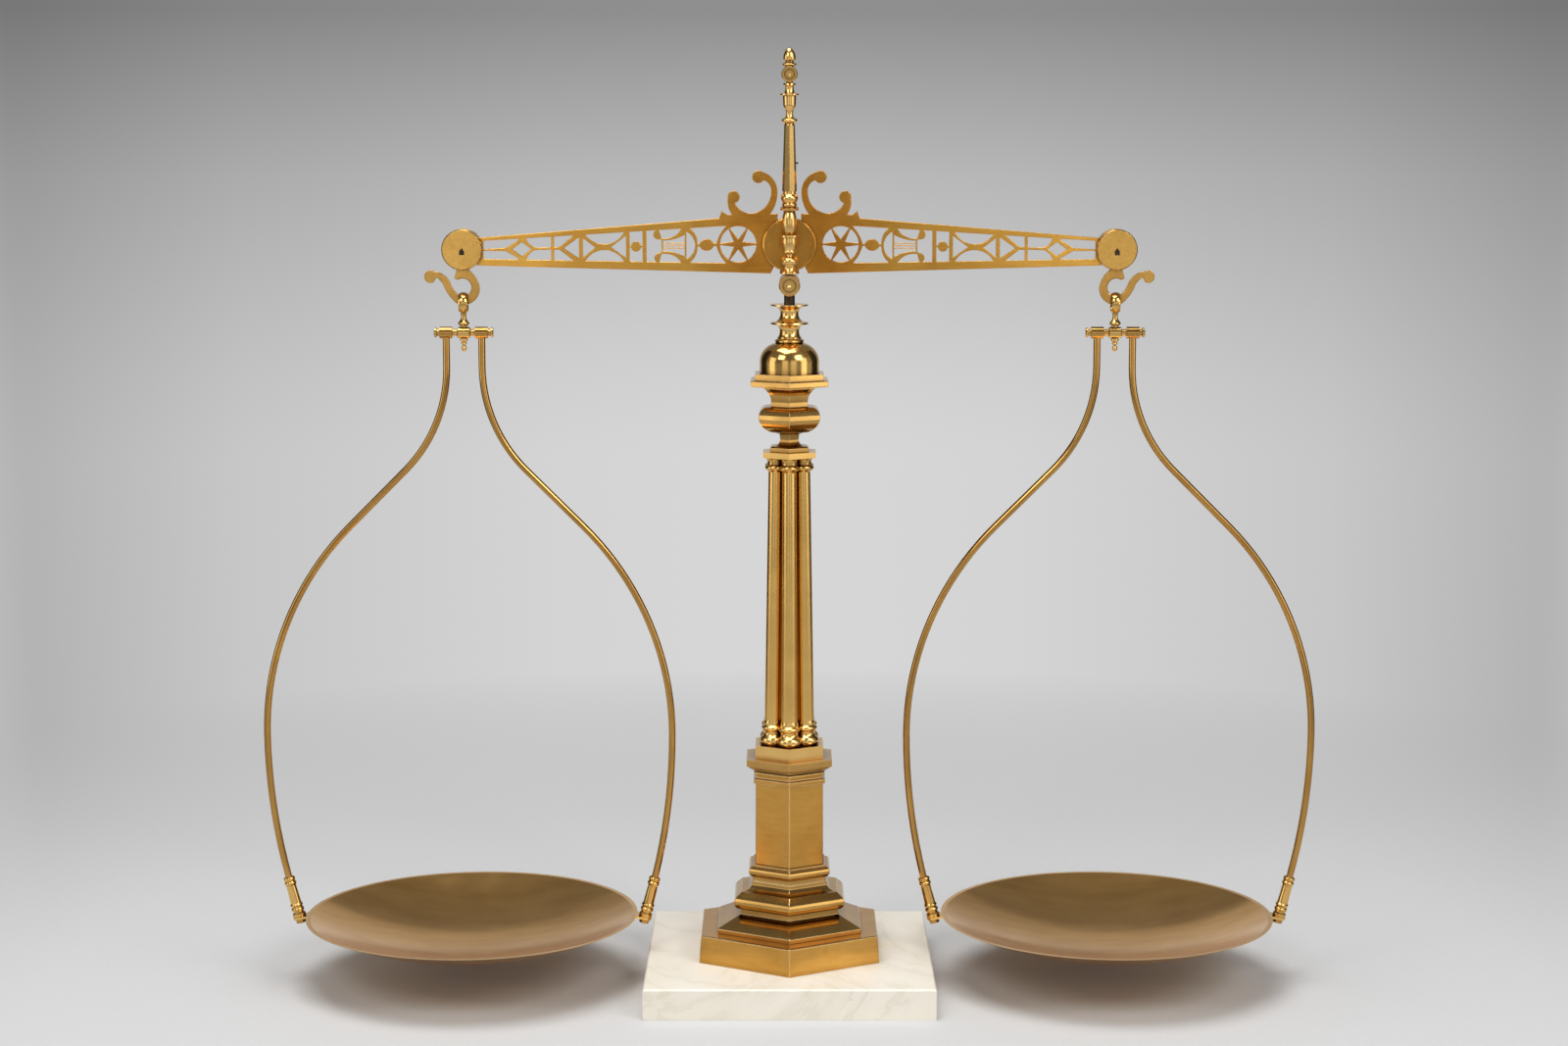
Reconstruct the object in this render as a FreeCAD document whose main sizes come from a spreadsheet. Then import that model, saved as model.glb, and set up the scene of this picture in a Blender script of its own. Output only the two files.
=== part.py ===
import FreeCAD, Part
import os
import Sketcher
from math import atan2, cos, hypot, pi, radians, sin

# Antique counter balance: a marble slab carries a hexagonal brass column, a yoke of two turned
# spindles holds a fretted beam on a knife edge, and each beam end carries a hook, a swivel eye,
# a bow of two wire legs and a shallow pan. X runs along the beam, Y from front to back, Z up.
# The origin is the middle of the slab's underside. All sizes are millimetres and degrees.

SIZES = {
    # marble slab and the rod that ties the column to it
    "slab_width": 203.0,
    "slab_depth": 203.0,
    "slab_thickness": 22.0,
    "slab_bevel": 1.2,
    "tie_radius": 4.0,
    "tie_gap": 0.3,
    "tie_grip": 9.0,
    "recess_radius": 15.0,
    "recess_depth": 11.0,
    "washer_radius": 12.0,
    "washer_thickness": 2.0,
    "nut_radius": 7.5,
    "nut_thickness": 6.0,
    "thread_end": 1.0,
    # hexagonal base and pedestal, each apothem from the axis to a flat
    "plinth_apothem": 64.0,
    "plinth_height": 19.5,
    "step_apothem": 51.0,
    "step_height": 46.5,
    "pedestal_apothem": 25.4,
    "pedestal_height": 69.0,
    "cornice_apothem": 30.3,
    "cornice_height": 8.0,
    # clustered column of six tapered shafts
    "foot_block_apothem": 24.0,
    "foot_block_height": 9.5,
    "foot_height": 27.0,
    "foot_ring_radius": 8.6,
    "column_height": 178.0,
    "low_shaft_radius": 5.8,
    "low_shaft_pitch": 13.7,
    "low_core_radius": 11.0,
    "high_shaft_radius": 5.0,
    "high_shaft_pitch": 11.3,
    "high_core_radius": 9.0,
    "capital_height": 14.0,
    "capital_ring_radius": 6.9,
    "abacus_apothem": 18.5,
    "abacus_height": 4.0,
    # vase, collar, dome and neck
    "vase_apothem": 21.5,
    "vase_height": 46.5,
    "collar_apothem": 27.2,
    "collar_height": 8.8,
    "dome_radius": 21.0,
    "dome_height": 25.2,
    "spool_radius": 13.4,
    "spool_height": 22.9,
    "stem_radius": 3.8,
    "stem_grip": 8.0,
    "stem_show": 6.7,
    # yoke
    "yoke_height": 145.2,
    "spindle_offset": 14.0,
    "spindle_radius": 6.8,
    "lower_boss_radius": 7.4,
    "lower_bar_radius": 6.0,
    "upper_boss_radius": 5.6,
    "upper_bar_radius": 3.6,
    "boss_length": 13.0,
    "tenon_radius": 2.2,
    "tenon_length": 4.5,
    "spindle_head": 29.4,
    "shaft_low_flats": 4.7,
    "shaft_high_flats": 3.4,
    "finial_radius": 5.0,
    "finial_height": 12.6,
    "index_pin_radius": 0.7,
    "index_pin_length": 1.4,
    # knife edges and bearings
    "pivot_rise": 27.7,
    "pivot_drop": 2.7,
    "knife_half_width": 1.75,
    "knife_depth": 4.6,
    "knife_tip_radius": 0.25,
    "knife_reach": 2.0,
    "bearing_half_width": 2.6,
    "bearing_height": 3.2,
    "bearing_depth": 6.5,
    "knife_end_gap": 0.5,
    "groove_half_width": 1.6,
    "groove_depth": 0.8,
    "seat_gap": 0.15,
    "fit_gap": 0.05,
    # beam
    "arm_length": 228.6,
    "plate_thickness": 4.0,
    "plate_setback": 10.3,
    "beam_root_rise": 22.4,
    "beam_tip_rise": 4.5,
    "beam_root_fall": 20.9,
    "beam_tip_fall": 14.6,
    "upper_rail_root": 6.8,
    "upper_rail_tip": 2.9,
    "lower_rail_root": 7.2,
    "lower_rail_tip": 4.6,
    "notch_width": 21.8,
    "notch_depth": 13.0,
    "scroll_reach": 49.1,
    "scroll_top": 50.7,
    "wheel_radius": 12.6,
    "boss_disc_radius": 18.7,
    "boss_disc_thickness": 3.0,
    "tongue_width": 5.0,
    "tongue_tip": 1.2,
    "tongue_thickness": 1.6,
    "tongue_height": 46.0,
    "rivet_radius": 0.9,
    "cheek_radius": 14.3,
    "cheek_thickness": 5.5,
    "cheek_drop": 0.8,
    # hook and swivel eye
    "hook_thickness": 3.4,
    "hook_reach": 26.9,
    "hook_drop": 39.3,
    "hook_eye_radius": 3.6,
    "hook_wall": 2.6,
    "hook_round": 0.8,
    "eye_gap": 0.3,
    "eye_inner_radius": 5.2,
    "eye_band": 2.3,
    "eye_width": 6.0,
    "shank_radius": 1.8,
    "shank_collar_radius": 3.8,
    "drop_pin_radius": 0.9,
    "drop_radius": 2.7,
    "drop_height": 9.0,
    # stirrup bar, legs and sockets
    "bar_drop": 59.0,
    "bar_half_length": 20.8,
    "bar_boss_radius": 4.0,
    "bar_boss_half": 4.45,
    "bar_knob_radius": 3.5,
    "bar_knob_length": 1.9,
    "journal_radius": 2.4,
    "journal_gap": 0.1,
    "sleeve_radius": 4.15,
    "sleeve_half": 4.45,
    "leg_offset": 12.5,
    "leg_radius": 2.48,
    "leg_shank": 24.5,
    "leg_drop": 392.3,
    "leg_slope": 45.0,
    "foot_rise": 105.0,
    "socket_tilt": 14.0,
    "socket_length": 30.0,
    "socket_radius": 4.7,
    "socket_insert": 8.0,
    "stud_radius": 2.2,
    "socket_nut_radius": 3.6,
    "socket_nut_height": 3.0,
    # pan
    "pan_radius": 119.0,
    "pan_depth": 27.0,
    "pan_wall": 1.4,
    "lug_reach": 5.5,
    "lug_drop": 2.65,
    "lug_thickness": 1.6,
    "lug_ring": 4.9,
    "lug_half_width": 7.0,
    "lug_overlap": 2.0,
    "lug_hole_gap": 0.1,
}

# Column pieces from the table upwards, each named by the size that is its height.
STACK = (
    "slab_thickness",
    "plinth_height",
    "step_height",
    "pedestal_height",
    "cornice_height",
    "foot_height",
    "column_height",
    "capital_height",
    "vase_height",
    "collar_height",
    "dome_height",
    "spool_height",
)

# Outlines of the turned and hexagonal pieces: radius and height shares from bottom to top.
# A row of four holds a point of the arc that leads to the next row as its last two shares.
PLINTH_SHARES = ((1.0, 0.0), (0.977, 0.985), (0.96, 1.0))
STEP_SHARES = (
    (1.0, 0.0),
    (1.0, 0.065),
    (0.985, 0.083),
    (0.68, 0.25),
    (0.68, 0.34),
    (0.725, 0.345, 0.77, 0.44),
    (0.73, 0.535),
    (0.665, 0.6, 0.565, 0.63),
    (0.52, 0.69),
    (0.52, 0.74),
    (0.508, 0.75),
    (0.508, 0.81),
    (0.53, 0.825, 0.567, 0.9),
    (0.53, 0.97),
    (0.5, 0.975),
    (0.5, 1.0),
)
PEDESTAL_SHARES = (
    (0.945, 0.0),
    (0.945, 0.855),
    (1.0, 0.862),
    (1.0, 0.905),
    (0.92, 0.915),
    (0.92, 0.95),
    (0.99, 0.957),
    (0.99, 0.975),
    (0.92, 0.982),
    (0.92, 1.0),
)
CORNICE_SHARES = ((0.86, 0.0), (0.875, 0.12, 0.925, 0.2), (0.95, 0.36), (1.0, 0.38), (1.0, 1.0))
FOOT_RING_SHARES = (
    (0.92, 0.0, 1.06, 0.16),
    (0.92, 0.34),
    (0.8, 0.4, 0.74, 0.5),
    (0.82, 0.6),
    (0.86, 0.62, 0.93, 0.7),
    (0.82, 0.78),
    (0.74, 0.82),
    (0.74, 0.9),
    (0.68, 1.0),
)
CAPITAL_RING_SHARES = (
    (0.73, 0.0),
    (0.8, 0.06),
    (0.95, 0.14, 1.08, 0.3),
    (0.93, 0.46),
    (0.83, 0.52),
    (0.83, 0.62, 0.89, 0.86),
    (1.06, 1.0),
)
VASE_SHARES = (
    (0.63, 0.0),
    (0.63, 0.062),
    (0.54, 0.085, 0.34, 0.12),
    (0.305, 0.2),
    (0.32, 0.262),
    (0.44, 0.285, 0.82, 0.36),
    (0.985, 0.475),
    (1.0, 0.5),
    (1.0, 0.565),
    (0.96, 0.61, 0.86, 0.665),
    (0.7, 0.685),
    (0.61, 0.69, 0.63, 0.84),
    (0.83, 0.965),
    (0.83, 1.0),
)
COLLAR_SHARES = ((0.97, 0.0), (1.0, 0.06), (1.0, 0.44), (0.97, 0.5), (0.885, 0.52), (0.885, 1.0))
DOME_SHARES = (
    (1.0, 0.0),
    (1.0, 0.3, 0.89, 0.6),
    (0.49, 0.83),
    (0.46, 0.84, 0.49, 0.885),
    (0.46, 0.93),
    (0.4, 0.96),
    (0.4, 1.0),
)
SPOOL_SHARES = (
    (0.6, 0.0, 0.52, 0.2),
    (0.62, 0.34),
    (0.82, 0.375),
    (1.0, 0.4),
    (0.98, 0.45),
    (0.74, 0.475, 0.5, 0.64),
    (0.56, 0.86),
    (0.74, 0.925),
    (1.0, 0.96),
    (1.0, 1.0),
)
# Lower spindle: heights are shares of the way from the top of the lower boss to the pivot.
SPINDLE_LOW_SHARES = (
    (0.5, 0.0),
    (0.5, 0.03),
    (1.0, 0.035),
    (1.0, 0.1),
    (0.66, 0.14, 0.58, 0.25),
    (0.66, 0.36),
    (0.78, 0.38, 0.86, 0.47),
    (0.72, 0.56),
    (0.4, 0.62, 0.36, 0.67),
    (0.42, 0.72),
    (0.64, 0.75),
    (0.64, 0.8),
    (0.62, 0.82, 0.76, 0.98),
    (0.79, 1.26),
    (1.0, 1.28),
    (1.0, 1.34),
    (0.52, 1.38, 0.74, 1.9),
    (0.54, 2.16),
    (0.94, 2.19),
    (0.97, 2.25),
    (0.66, 2.3, 0.76, 2.38),
    (0.66, 2.45),
    (0.84, 2.54, 0.88, 2.6),
    (0.84, 2.66),
    (0.66, 2.74),
    (0.66, 2.84),
)
# Upper spindle: heights are shares of the head below the upper boss, from the shaft upwards.
SPINDLE_HIGH_SHARES = (
    (0.57, 0.0),
    (0.48, 0.05),
    (0.76, 0.085, 0.83, 0.12),
    (0.74, 0.155),
    (0.42, 0.2, 0.36, 0.27),
    (0.42, 0.355),
    (0.46, 0.375, 0.61, 0.43),
    (0.67, 0.53),
    (0.7, 0.69),
    (0.98, 0.705),
    (0.98, 0.74),
    (0.56, 0.76, 0.45, 0.84),
    (0.44, 0.91),
    (0.68, 0.94),
    (0.62, 0.985),
    (0.34, 0.985),
    (0.34, 1.0),
)
FINIAL_SHARES = (
    (0.66, 0.0),
    (0.9, 0.02, 1.04, 0.08),
    (0.92, 0.14),
    (0.56, 0.22),
    (0.56, 0.27),
    (0.8, 0.31),
    (0.88, 0.36),
    (0.88, 0.44, 0.79, 0.66),
    (0.58, 0.84, 0.4, 0.93),
    (0.12, 1.0),
    (0.0, 1.0),
)
# Face of a yoke boss: shares of the boss's length out from its middle, and of its radius.
BOSS_FACE_SHARES = (
    (0.44, 1.0),
    (0.5, 0.93),
    (0.5, 0.66),
    (0.46, 0.62),
    (0.46, 0.56),
    (0.5, 0.52),
    (0.5, 0.16),
    (0.45, 0.0),
)
# Shank of the swivel eye: shares of its collar's radius and of the way up to the ring.
SHANK_SHARES = (
    (0.68, 0.0),
    (0.68, 0.06),
    (0.98, 0.14, 1.06, 0.22),
    (0.94, 0.3),
    (0.56, 0.5, 0.5, 0.62),
    (0.62, 1.0),
)
SOCKET_SHARES = (
    (0.98, 0.0),
    (1.0, 0.03),
    (1.0, 0.085),
    (0.8, 0.105),
    (0.8, 0.14),
    (0.92, 0.15, 0.99, 0.185),
    (0.92, 0.22),
    (0.82, 0.235),
    (0.82, 0.26),
    (0.95, 0.275, 0.98, 0.3),
    (0.9, 0.325),
    (0.83, 0.34),
    (0.76, 0.79),
    (0.84, 0.81, 0.92, 0.845),
    (0.84, 0.88),
    (0.75, 0.895),
    (0.83, 0.91, 0.9, 0.95),
    (0.83, 0.99),
    (0.7, 1.0),
)
DROP_SHARES = (
    (0.0, 0.0, 0.57, 0.11),
    (0.67, 0.27, 0.55, 0.41),
    (0.36, 0.46),
    (0.36, 0.52),
    (0.68, 0.56, 0.76, 0.62),
    (0.62, 0.68),
    (0.62, 0.74),
    (1.0, 0.84),
    (1.0, 1.0),
)

# Fret openings of one arm: the first share runs along the arm from the pivot, the second from
# the lower rail (-1) to the upper rail (1); two more shares name a point of an arc.
SPEAR_SHARES = (
    ((0.936, 0.08), (0.936, 1.0), (0.829, 1.0), (0.829, 0.86), (0.868, 0.16)),
    ((0.936, -0.08), (0.936, -1.0), (0.829, -1.0), (0.829, -0.86), (0.868, -0.16)),
    ((0.804, 1.0), (0.7288, 1.0), (0.7288, 0.1), (0.772, 0.1, 0.793, 0.38), (0.804, 0.86)),
    ((0.804, -1.0), (0.7288, -1.0), (0.7288, -0.1), (0.772, -0.1, 0.793, -0.38), (0.804, -0.86)),
    ((0.848, 0.0), (0.818, 0.66), (0.79, 0.0), (0.818, -0.66)),
)
CHEVRON_SHARES = (
    ((0.7197, 0.12), (0.7197, 1.0), (0.66, 1.0), (0.703, 0.12)),
    ((0.7197, -0.12), (0.7197, -1.0), (0.66, -1.0), (0.703, -0.12)),
    ((0.69, 0.0), (0.6436, 0.82), (0.6436, -0.82)),
)
CROSS_SHARES = (
    ((0.6315, 0.74), (0.594, 0.0), (0.6315, -0.74)),
    ((0.5, 0.74), (0.546, 0.0), (0.5, -0.74)),
    ((0.624, 1.0), (0.506, 1.0, 0.568, 0.22)),
    ((0.624, -1.0), (0.506, -1.0, 0.568, -0.2)),
)
DOT_SHARES = (
    (
        (0.4885, 0.06),
        (0.4885, 1.0),
        (0.4494, 1.0),
        (0.4494, 0.06),
        (0.4542, 0.06, 0.469, 0.34),
        (0.4838, 0.06),
    ),
    (
        (0.4885, -0.06),
        (0.4885, -1.0),
        (0.4494, -1.0),
        (0.4494, -0.06),
        (0.4542, -0.06, 0.469, -0.34),
        (0.4838, -0.06),
    ),
)
LYRE_SHARES = (
    (
        (0.437, 1.0),
        (0.409, 1.0, 0.416, 0.68),
        (0.399, 0.42),
        (0.391, 0.38),
        (0.391, -0.38),
        (0.399, -0.44, 0.413, -0.68),
        (0.407, -1.0),
        (0.437, -1.0),
    ),
    ((0.399, 1.0), (0.331, 1.0, 0.353, 0.58), (0.391, 0.47)),
    ((0.398, -1.0), (0.331, -1.0, 0.353, -0.62), (0.391, -0.5)),
    ((0.387, 0.175), (0.387, 0.33, 0.35, 0.4), (0.3203, 0.62), (0.3203, 0.175)),
    ((0.387, -0.175), (0.387, -0.34, 0.35, -0.42), (0.3203, -0.66), (0.3203, -0.175)),
    ((0.387, 0.125), (0.387, 0.025), (0.3203, 0.025), (0.3203, 0.125)),
    ((0.387, -0.125), (0.387, -0.025), (0.3203, -0.025), (0.3203, -0.125)),
)
OVAL_SHARES = (
    ((0.315, 0.8, 0.2885, 0.0), (0.315, -0.8)),
    (
        (0.304, 1.0),
        (0.194, 1.0, 0.2125, 0.56),
        (0.2235, 0.07),
        (0.231, 0.07, 0.253, 0.33),
        (0.275, 0.07),
        (0.281, 0.07, 0.287, 0.6),
    ),
    (
        (0.304, -1.0),
        (0.194, -1.0, 0.2125, -0.56),
        (0.2235, -0.07),
        (0.231, -0.07, 0.253, -0.33),
        (0.275, -0.07),
        (0.281, -0.07, 0.287, -0.6),
    ),
)
FRET_PANELS = {
    "spear": SPEAR_SHARES,
    "chevron": CHEVRON_SHARES,
    "cross": CROSS_SHARES,
    "dot": DOT_SHARES,
    "lyre": LYRE_SHARES,
    "oval": OVAL_SHARES,
}
WHEEL_PLACE_SHARE = 0.1567
WHEEL_ARM_COUNT = 6
WHEEL_TIP_DEGREES = 2.5
WHEEL_HUB_SHARE = 0.28

# Scroll crest on one arm: shares of its reach from the pivot and of its top above the pivot.
SCROLL_SHARES = (
    (0.282, 0.405, 0.201, 0.545),
    (0.169, 0.715, 0.229, 0.892),
    (0.4, 1.0, 0.529, 0.913),
    (0.368, 0.879, 0.289, 0.825),
    (0.261, 0.735, 0.326, 0.536),
    (0.528, 0.425, 0.6875, 0.468),
    (0.775, 0.569, 0.729, 0.707),
    (0.876, 0.63, 0.871, 0.5155),
    (0.819, 0.4145, 0.9056, 0.417),
    (0.9625, 0.467),
)
SCROLL_ROOT_SHARE = 0.66
SCROLL_CUSP_SHARE = 0.82

# Hook outline below its eye: shares of its reach outwards and of its drop below the knife edge.
HOOK_SHARES = (
    (0.16, -0.366),
    (0.226, -0.5375),
    (0.132, -0.562, -0.216, -0.698),
    (0.112, -0.834, 0.234, -0.743),
    (0.326, -0.6265, 0.501, -0.471),
    (0.748, -0.412, 1.0, -0.532),
    (0.761, -0.6),
    (0.7, -0.5166, 0.6285, -0.55),
    (0.519, -0.637, 0.384, -0.82),
    (0.196, -0.965, 0.048, -1.005),
    (-0.104, -1.0, -0.346, -0.89),
    (-0.4326, -0.698, -0.308, -0.489),
    (-0.1476, -0.375),
)
HOOK_SEAT_SHARE = 0.845

# Share of the leg's two bends that belongs to the upper one.
KNEE_SHARE = 0.327

# Hexagonal blocks are cut from three bars this many times as long as they are deep.
BAR_REACH_SHARE = 1.25

# Cuts run past the piece by this much, and small features sit at these shares of their piece.
OVERRUN_SHARE = 1.2
INDEX_SHARE = 0.43
WEDGE_RUN_SHARE = 0.6
WEDGE_RISE_SHARE = 0.8
NOTCH_TOP_SHARE = 0.375
NOTCH_CORNER_SHARE = 0.6
NOTCH_LIP_SHARE = 0.96
NOTCH_FOOT_SHARE = 0.965
NOTCH_RISE_SHARE = 0.75
END_RIVET_SHARES = (-0.35, 0.35)
CENTRE_RIVET_SHARE = 0.78
DISC_EDGE_SHARE = 0.78
DISC_FACE_SHARE = 0.95
EYE_ROUND_SHARE = 0.42
DROP_PIN_SHARE = 0.4

COLONNETTES = 6
SHAFT_SIDES = 8
SIDES = (("left", -1, 180.0), ("right", 1, 0.0))

doc = FreeCAD.newDocument("BalanceScale")
sheet = doc.addObject("Spreadsheet::Sheet", "Sizes")
nodes = []


def fill_sheet():
    """Writes every driving size into the sheet under its own name."""
    for row, (name, number) in enumerate(SIZES.items(), start=1):
        sheet.set(f"A{row}", name)
        sheet.set(f"B{row}", str(number))
        sheet.setAlias(f"B{row}", name)
    doc.recompute()


def size(name, share=1.0):
    """Expression for a share of one named size."""
    return f"Sizes.{name} * {share:.5f}" if share != 1.0 else f"Sizes.{name}"


def total(*names):
    """Expression for the sum of named sizes."""
    return " + ".join(f"Sizes.{name}" for name in names)


def level(name):
    """Expression for the height at which a piece of the column stack begins."""
    return total(*STACK[:STACK.index(name)])


def number_of(expression):
    return float(sheet.evalExpression(expression))


LOWER_AXIS = " + ".join((total(*STACK), total("stem_show", "lower_boss_radius")))
UPPER_AXIS = f"{LOWER_AXIS} + {total('yoke_height')}"
PIVOT_LEVEL = f"{LOWER_AXIS} + {total('pivot_rise')}"
END_LEVEL = f"{PIVOT_LEVEL} - Sizes.pivot_drop"
BAR_LEVEL = f"{END_LEVEL} - Sizes.bar_drop"
TILT = "Sizes.socket_tilt * 1 deg"
SLOPE = "Sizes.leg_slope * 1 deg"
PLATE_FACE = size("plate_thickness", 0.5)
TIE_BORE = total("tie_radius", "tie_gap")
TENON_BORE = total("tenon_radius", "fit_gap")
RIVET_BORE = total("rivet_radius", "fit_gap")
POCKET_BACK = total("knife_reach", "knife_end_gap")
CENTRE_RIVET_PLACE = size("boss_disc_radius", CENTRE_RIVET_SHARE)
HOOK_SEAT = size("hook_drop", HOOK_SEAT_SHARE)
EYE_RISE = f"(Sizes.bar_drop - {HOOK_SEAT} + Sizes.eye_gap - Sizes.eye_inner_radius)"

# Stirrup places, measured from the bar's axis: top of the socket, rim of the pan, widest leg.
SOCKET_RUN = "(Sizes.lug_thickness * 0.5 + Sizes.socket_length)"
SOCKET_TOP_X = f"(Sizes.pan_radius + Sizes.lug_reach + {SOCKET_RUN} * sin({TILT}))"
LUG_LEVEL = f"(-Sizes.leg_drop - {SOCKET_RUN} * cos({TILT}))"
LEG_SPAN = f"({SOCKET_TOP_X} + Sizes.foot_rise * tan({TILT} / 2))"
DISH_RADIUS = "((Sizes.pan_radius ^ 2 + Sizes.pan_depth ^ 2) / (2 * Sizes.pan_depth))"
PAN_LEVEL = f"{BAR_LEVEL} + {LUG_LEVEL} + Sizes.lug_drop"


def place(piece, across="0", back="0", up="0", turn=0.0):
    """Puts a piece at its place, turned about the upright axis."""
    upright = FreeCAD.Vector(0, 0, 1)
    piece.Placement = FreeCAD.Placement(FreeCAD.Vector(), FreeCAD.Rotation(upright, turn))
    for axis, expression in (("x", across), ("y", back), ("z", up)):
        if expression != "0":
            piece.setExpression(f"Placement.Base.{axis}", expression)


def keep(piece, label):
    """Adds a finished piece to the list of sub-parts."""
    piece.Label = label
    nodes.append(piece)
    return piece


def new_body(label):
    return keep(doc.addObject("PartDesign::Body", label), label)


def origin_part(body, role):
    return [item for item in body.Origin.OriginFeatures if item.Role == role][0]


def new_sketch(body, plane, name):
    sketch = body.newObject("Sketcher::SketchObject", f"{body.Name}_{name}")
    sketch.AttachmentSupport = (origin_part(body, plane), [""])
    sketch.MapMode = "FlatFace"
    return sketch


def tie_point(sketch, edge, end, across, up):
    """Constraints, with their expressions, that hold one sketch point at its place."""
    rows = []
    for kind, place_of, axis in (("DistanceX", across, -2), ("DistanceY", up, -1)):
        if place_of == "0":
            rows.append((Sketcher.Constraint("PointOnObject", edge, end, axis), None))
        else:
            value = number_of(place_of)
            rows.append((Sketcher.Constraint(kind, -1, 1, edge, end, value), place_of))
    return rows


def arc_through(first, middle, last):
    """Arc through three points, drawn anticlockwise, and whether it starts at the first one."""
    centre = Part.Circle(first, middle, last).Center
    turns = [atan2(point.y - centre.y, point.x - centre.x) for point in (first, middle, last)]
    forward = (turns[1] - turns[0]) % (2 * pi) < (turns[2] - turns[0]) % (2 * pi)
    start, stop = (turns[0], turns[2]) if forward else (turns[2], turns[0])
    round_line = Part.Circle(centre, FreeCAD.Vector(0, 0, 1), hypot(first.x - centre.x, first.y - centre.y))
    return Part.ArcOfCircle(round_line, start, stop), forward


def draw(sketch, corners, closed=True):
    """Draws lines and arcs through corners whose places are expressions.

    A corner of four expressions holds a point of the arc that leads to the next corner."""
    points = [FreeCAD.Vector(number_of(row[0]), number_of(row[1]), 0) for row in corners]
    count = len(corners) if closed else len(corners) - 1
    edges = []
    rows = []
    for index in range(count):
        first = points[index]
        last = points[(index + 1) % len(points)]
        if len(corners[index]) == 2:
            edge = sketch.addGeometry(Part.LineSegment(first, last), False)
            forward = True
        else:
            middle = FreeCAD.Vector(number_of(corners[index][2]), number_of(corners[index][3]), 0)
            shape, forward = arc_through(first, middle, last)
            edge = sketch.addGeometry(shape, False)
            mark = sketch.addGeometry(Part.Point(middle), True)
            rows += tie_point(sketch, mark, 1, *corners[index][2:])
            rows.append((Sketcher.Constraint("PointOnObject", mark, 1, edge), None))
        ends = (1, 2) if forward else (2, 1)
        edges.append((edge, ends))
        rows += tie_point(sketch, edge, ends[0], *corners[index][:2])
    for (edge, ends), (next_edge, next_ends) in zip(edges, edges[1:] + edges[:1]):
        if closed or next_edge != edges[0][0]:
            rows.append((Sketcher.Constraint("Coincident", edge, ends[1], next_edge, next_ends[0]), None))
    if not closed:
        rows += tie_point(sketch, edges[-1][0], edges[-1][1][1], *corners[-1][:2])
    bind(sketch, rows)


def draw_circle(sketch, across, up, radius):
    """Draws a circle whose centre and radius are expressions."""
    centre = FreeCAD.Vector(number_of(across), number_of(up), 0)
    edge = sketch.addGeometry(Part.Circle(centre, FreeCAD.Vector(0, 0, 1), number_of(radius)), False)
    rows = tie_point(sketch, edge, 3, across, up)
    rows.append((Sketcher.Constraint("Radius", edge, number_of(radius)), radius))
    bind(sketch, rows)


def bind(sketch, rows):
    """Adds constraints to a sketch and binds their sizes to the sheet."""
    indexes = sketch.addConstraint([row[0] for row in rows])
    for index, (_, expression) in zip(indexes, rows):
        if expression is not None:
            sketch.setExpression(f"Constraints[{index}]", expression)


def scaled(shares, wide, tall, base="0"):
    """Corners of an outline from its shares of two sizes, from a base height upwards."""
    corners = []
    for row in shares:
        corner = []
        for index, share in enumerate(row):
            if index % 2 == 0:
                corner.append(size(wide, share) if share else "0")
            elif base == "0":
                corner.append(size(tall, share) if share else "0")
            else:
                corner.append(f"{base} + {size(tall, share)}")
        corners.append(tuple(corner))
    return corners


def revolve(body, sketch, axis="V_Axis"):
    feature = body.newObject("PartDesign::Revolution", f"{sketch.Name}_turned")
    feature.Profile = sketch
    feature.ReferenceAxis = (sketch, [axis])
    feature.Angle = 360
    return feature


def pad(body, sketch, length, middle=True):
    feature = body.newObject("PartDesign::Pad", f"{sketch.Name}_pad")
    feature.Profile = sketch
    feature.SideType = "Symmetric" if middle else "One side"
    feature.setExpression("Length", length)
    return feature


def cut_through(body, sketch, length):
    """Cuts a sketch out of a body, equally far to both sides of the sketch."""
    doc.recompute()
    before = body.Shape.Volume
    feature = body.newObject("PartDesign::Pocket", f"{sketch.Name}_cut")
    feature.Profile = sketch
    feature.SideType = "Symmetric"
    feature.setExpression("Length", length)
    doc.recompute()
    if body.Shape.Volume >= before:
        raise RuntimeError(f"{body.Label}: {sketch.Name} cuts nothing")
    return feature


def turned(label, corners, plane="XZ_Plane", axis="V_Axis"):
    """A piece turned on a lathe from one closed half outline."""
    body = new_body(label)
    sketch = new_sketch(body, plane, "outline")
    draw(sketch, corners)
    revolve(body, sketch, axis)
    return body


def bored(corners, bore, tall):
    """Closes a turned outline along its bore."""
    return corners + [(bore, size(tall)), (bore, "0")]


def hexagonal(label, shares, wide, tall, bore):
    """A six-sided moulding: three profiled bars crossed at sixty degrees, bored for the tie rod."""
    sketch = doc.addObject("Sketcher::SketchObject", f"{label}_profile")
    sketch.Placement.Rotation = FreeCAD.Rotation(FreeCAD.Vector(1, 0, 0), 90)
    right = scaled(shares, wide, tall)
    draw(sketch, right + mirrored_back(right))
    bars = []
    for turn in range(3):
        bar = doc.addObject("Part::Extrusion", f"{label}_bar_{turn}")
        bar.Base = sketch
        bar.DirMode = "Normal"
        bar.Solid = True
        bar.Symmetric = True
        bar.setExpression("LengthFwd", size(wide, 2 * BAR_REACH_SHARE))
        bar.Placement.Rotation = FreeCAD.Rotation(FreeCAD.Vector(0, 0, 1), 60.0 * turn)
        bars.append(bar)
    block = doc.addObject("Part::MultiCommon", f"{label}_block")
    block.Shapes = bars
    hole = doc.addObject("Part::Cylinder", f"{label}_bore")
    hole.setExpression("Radius", bore)
    hole.setExpression("Height", size(tall))
    piece = doc.addObject("Part::Cut", label)
    piece.Base = block
    piece.Tool = hole
    return keep(piece, label)


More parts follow.
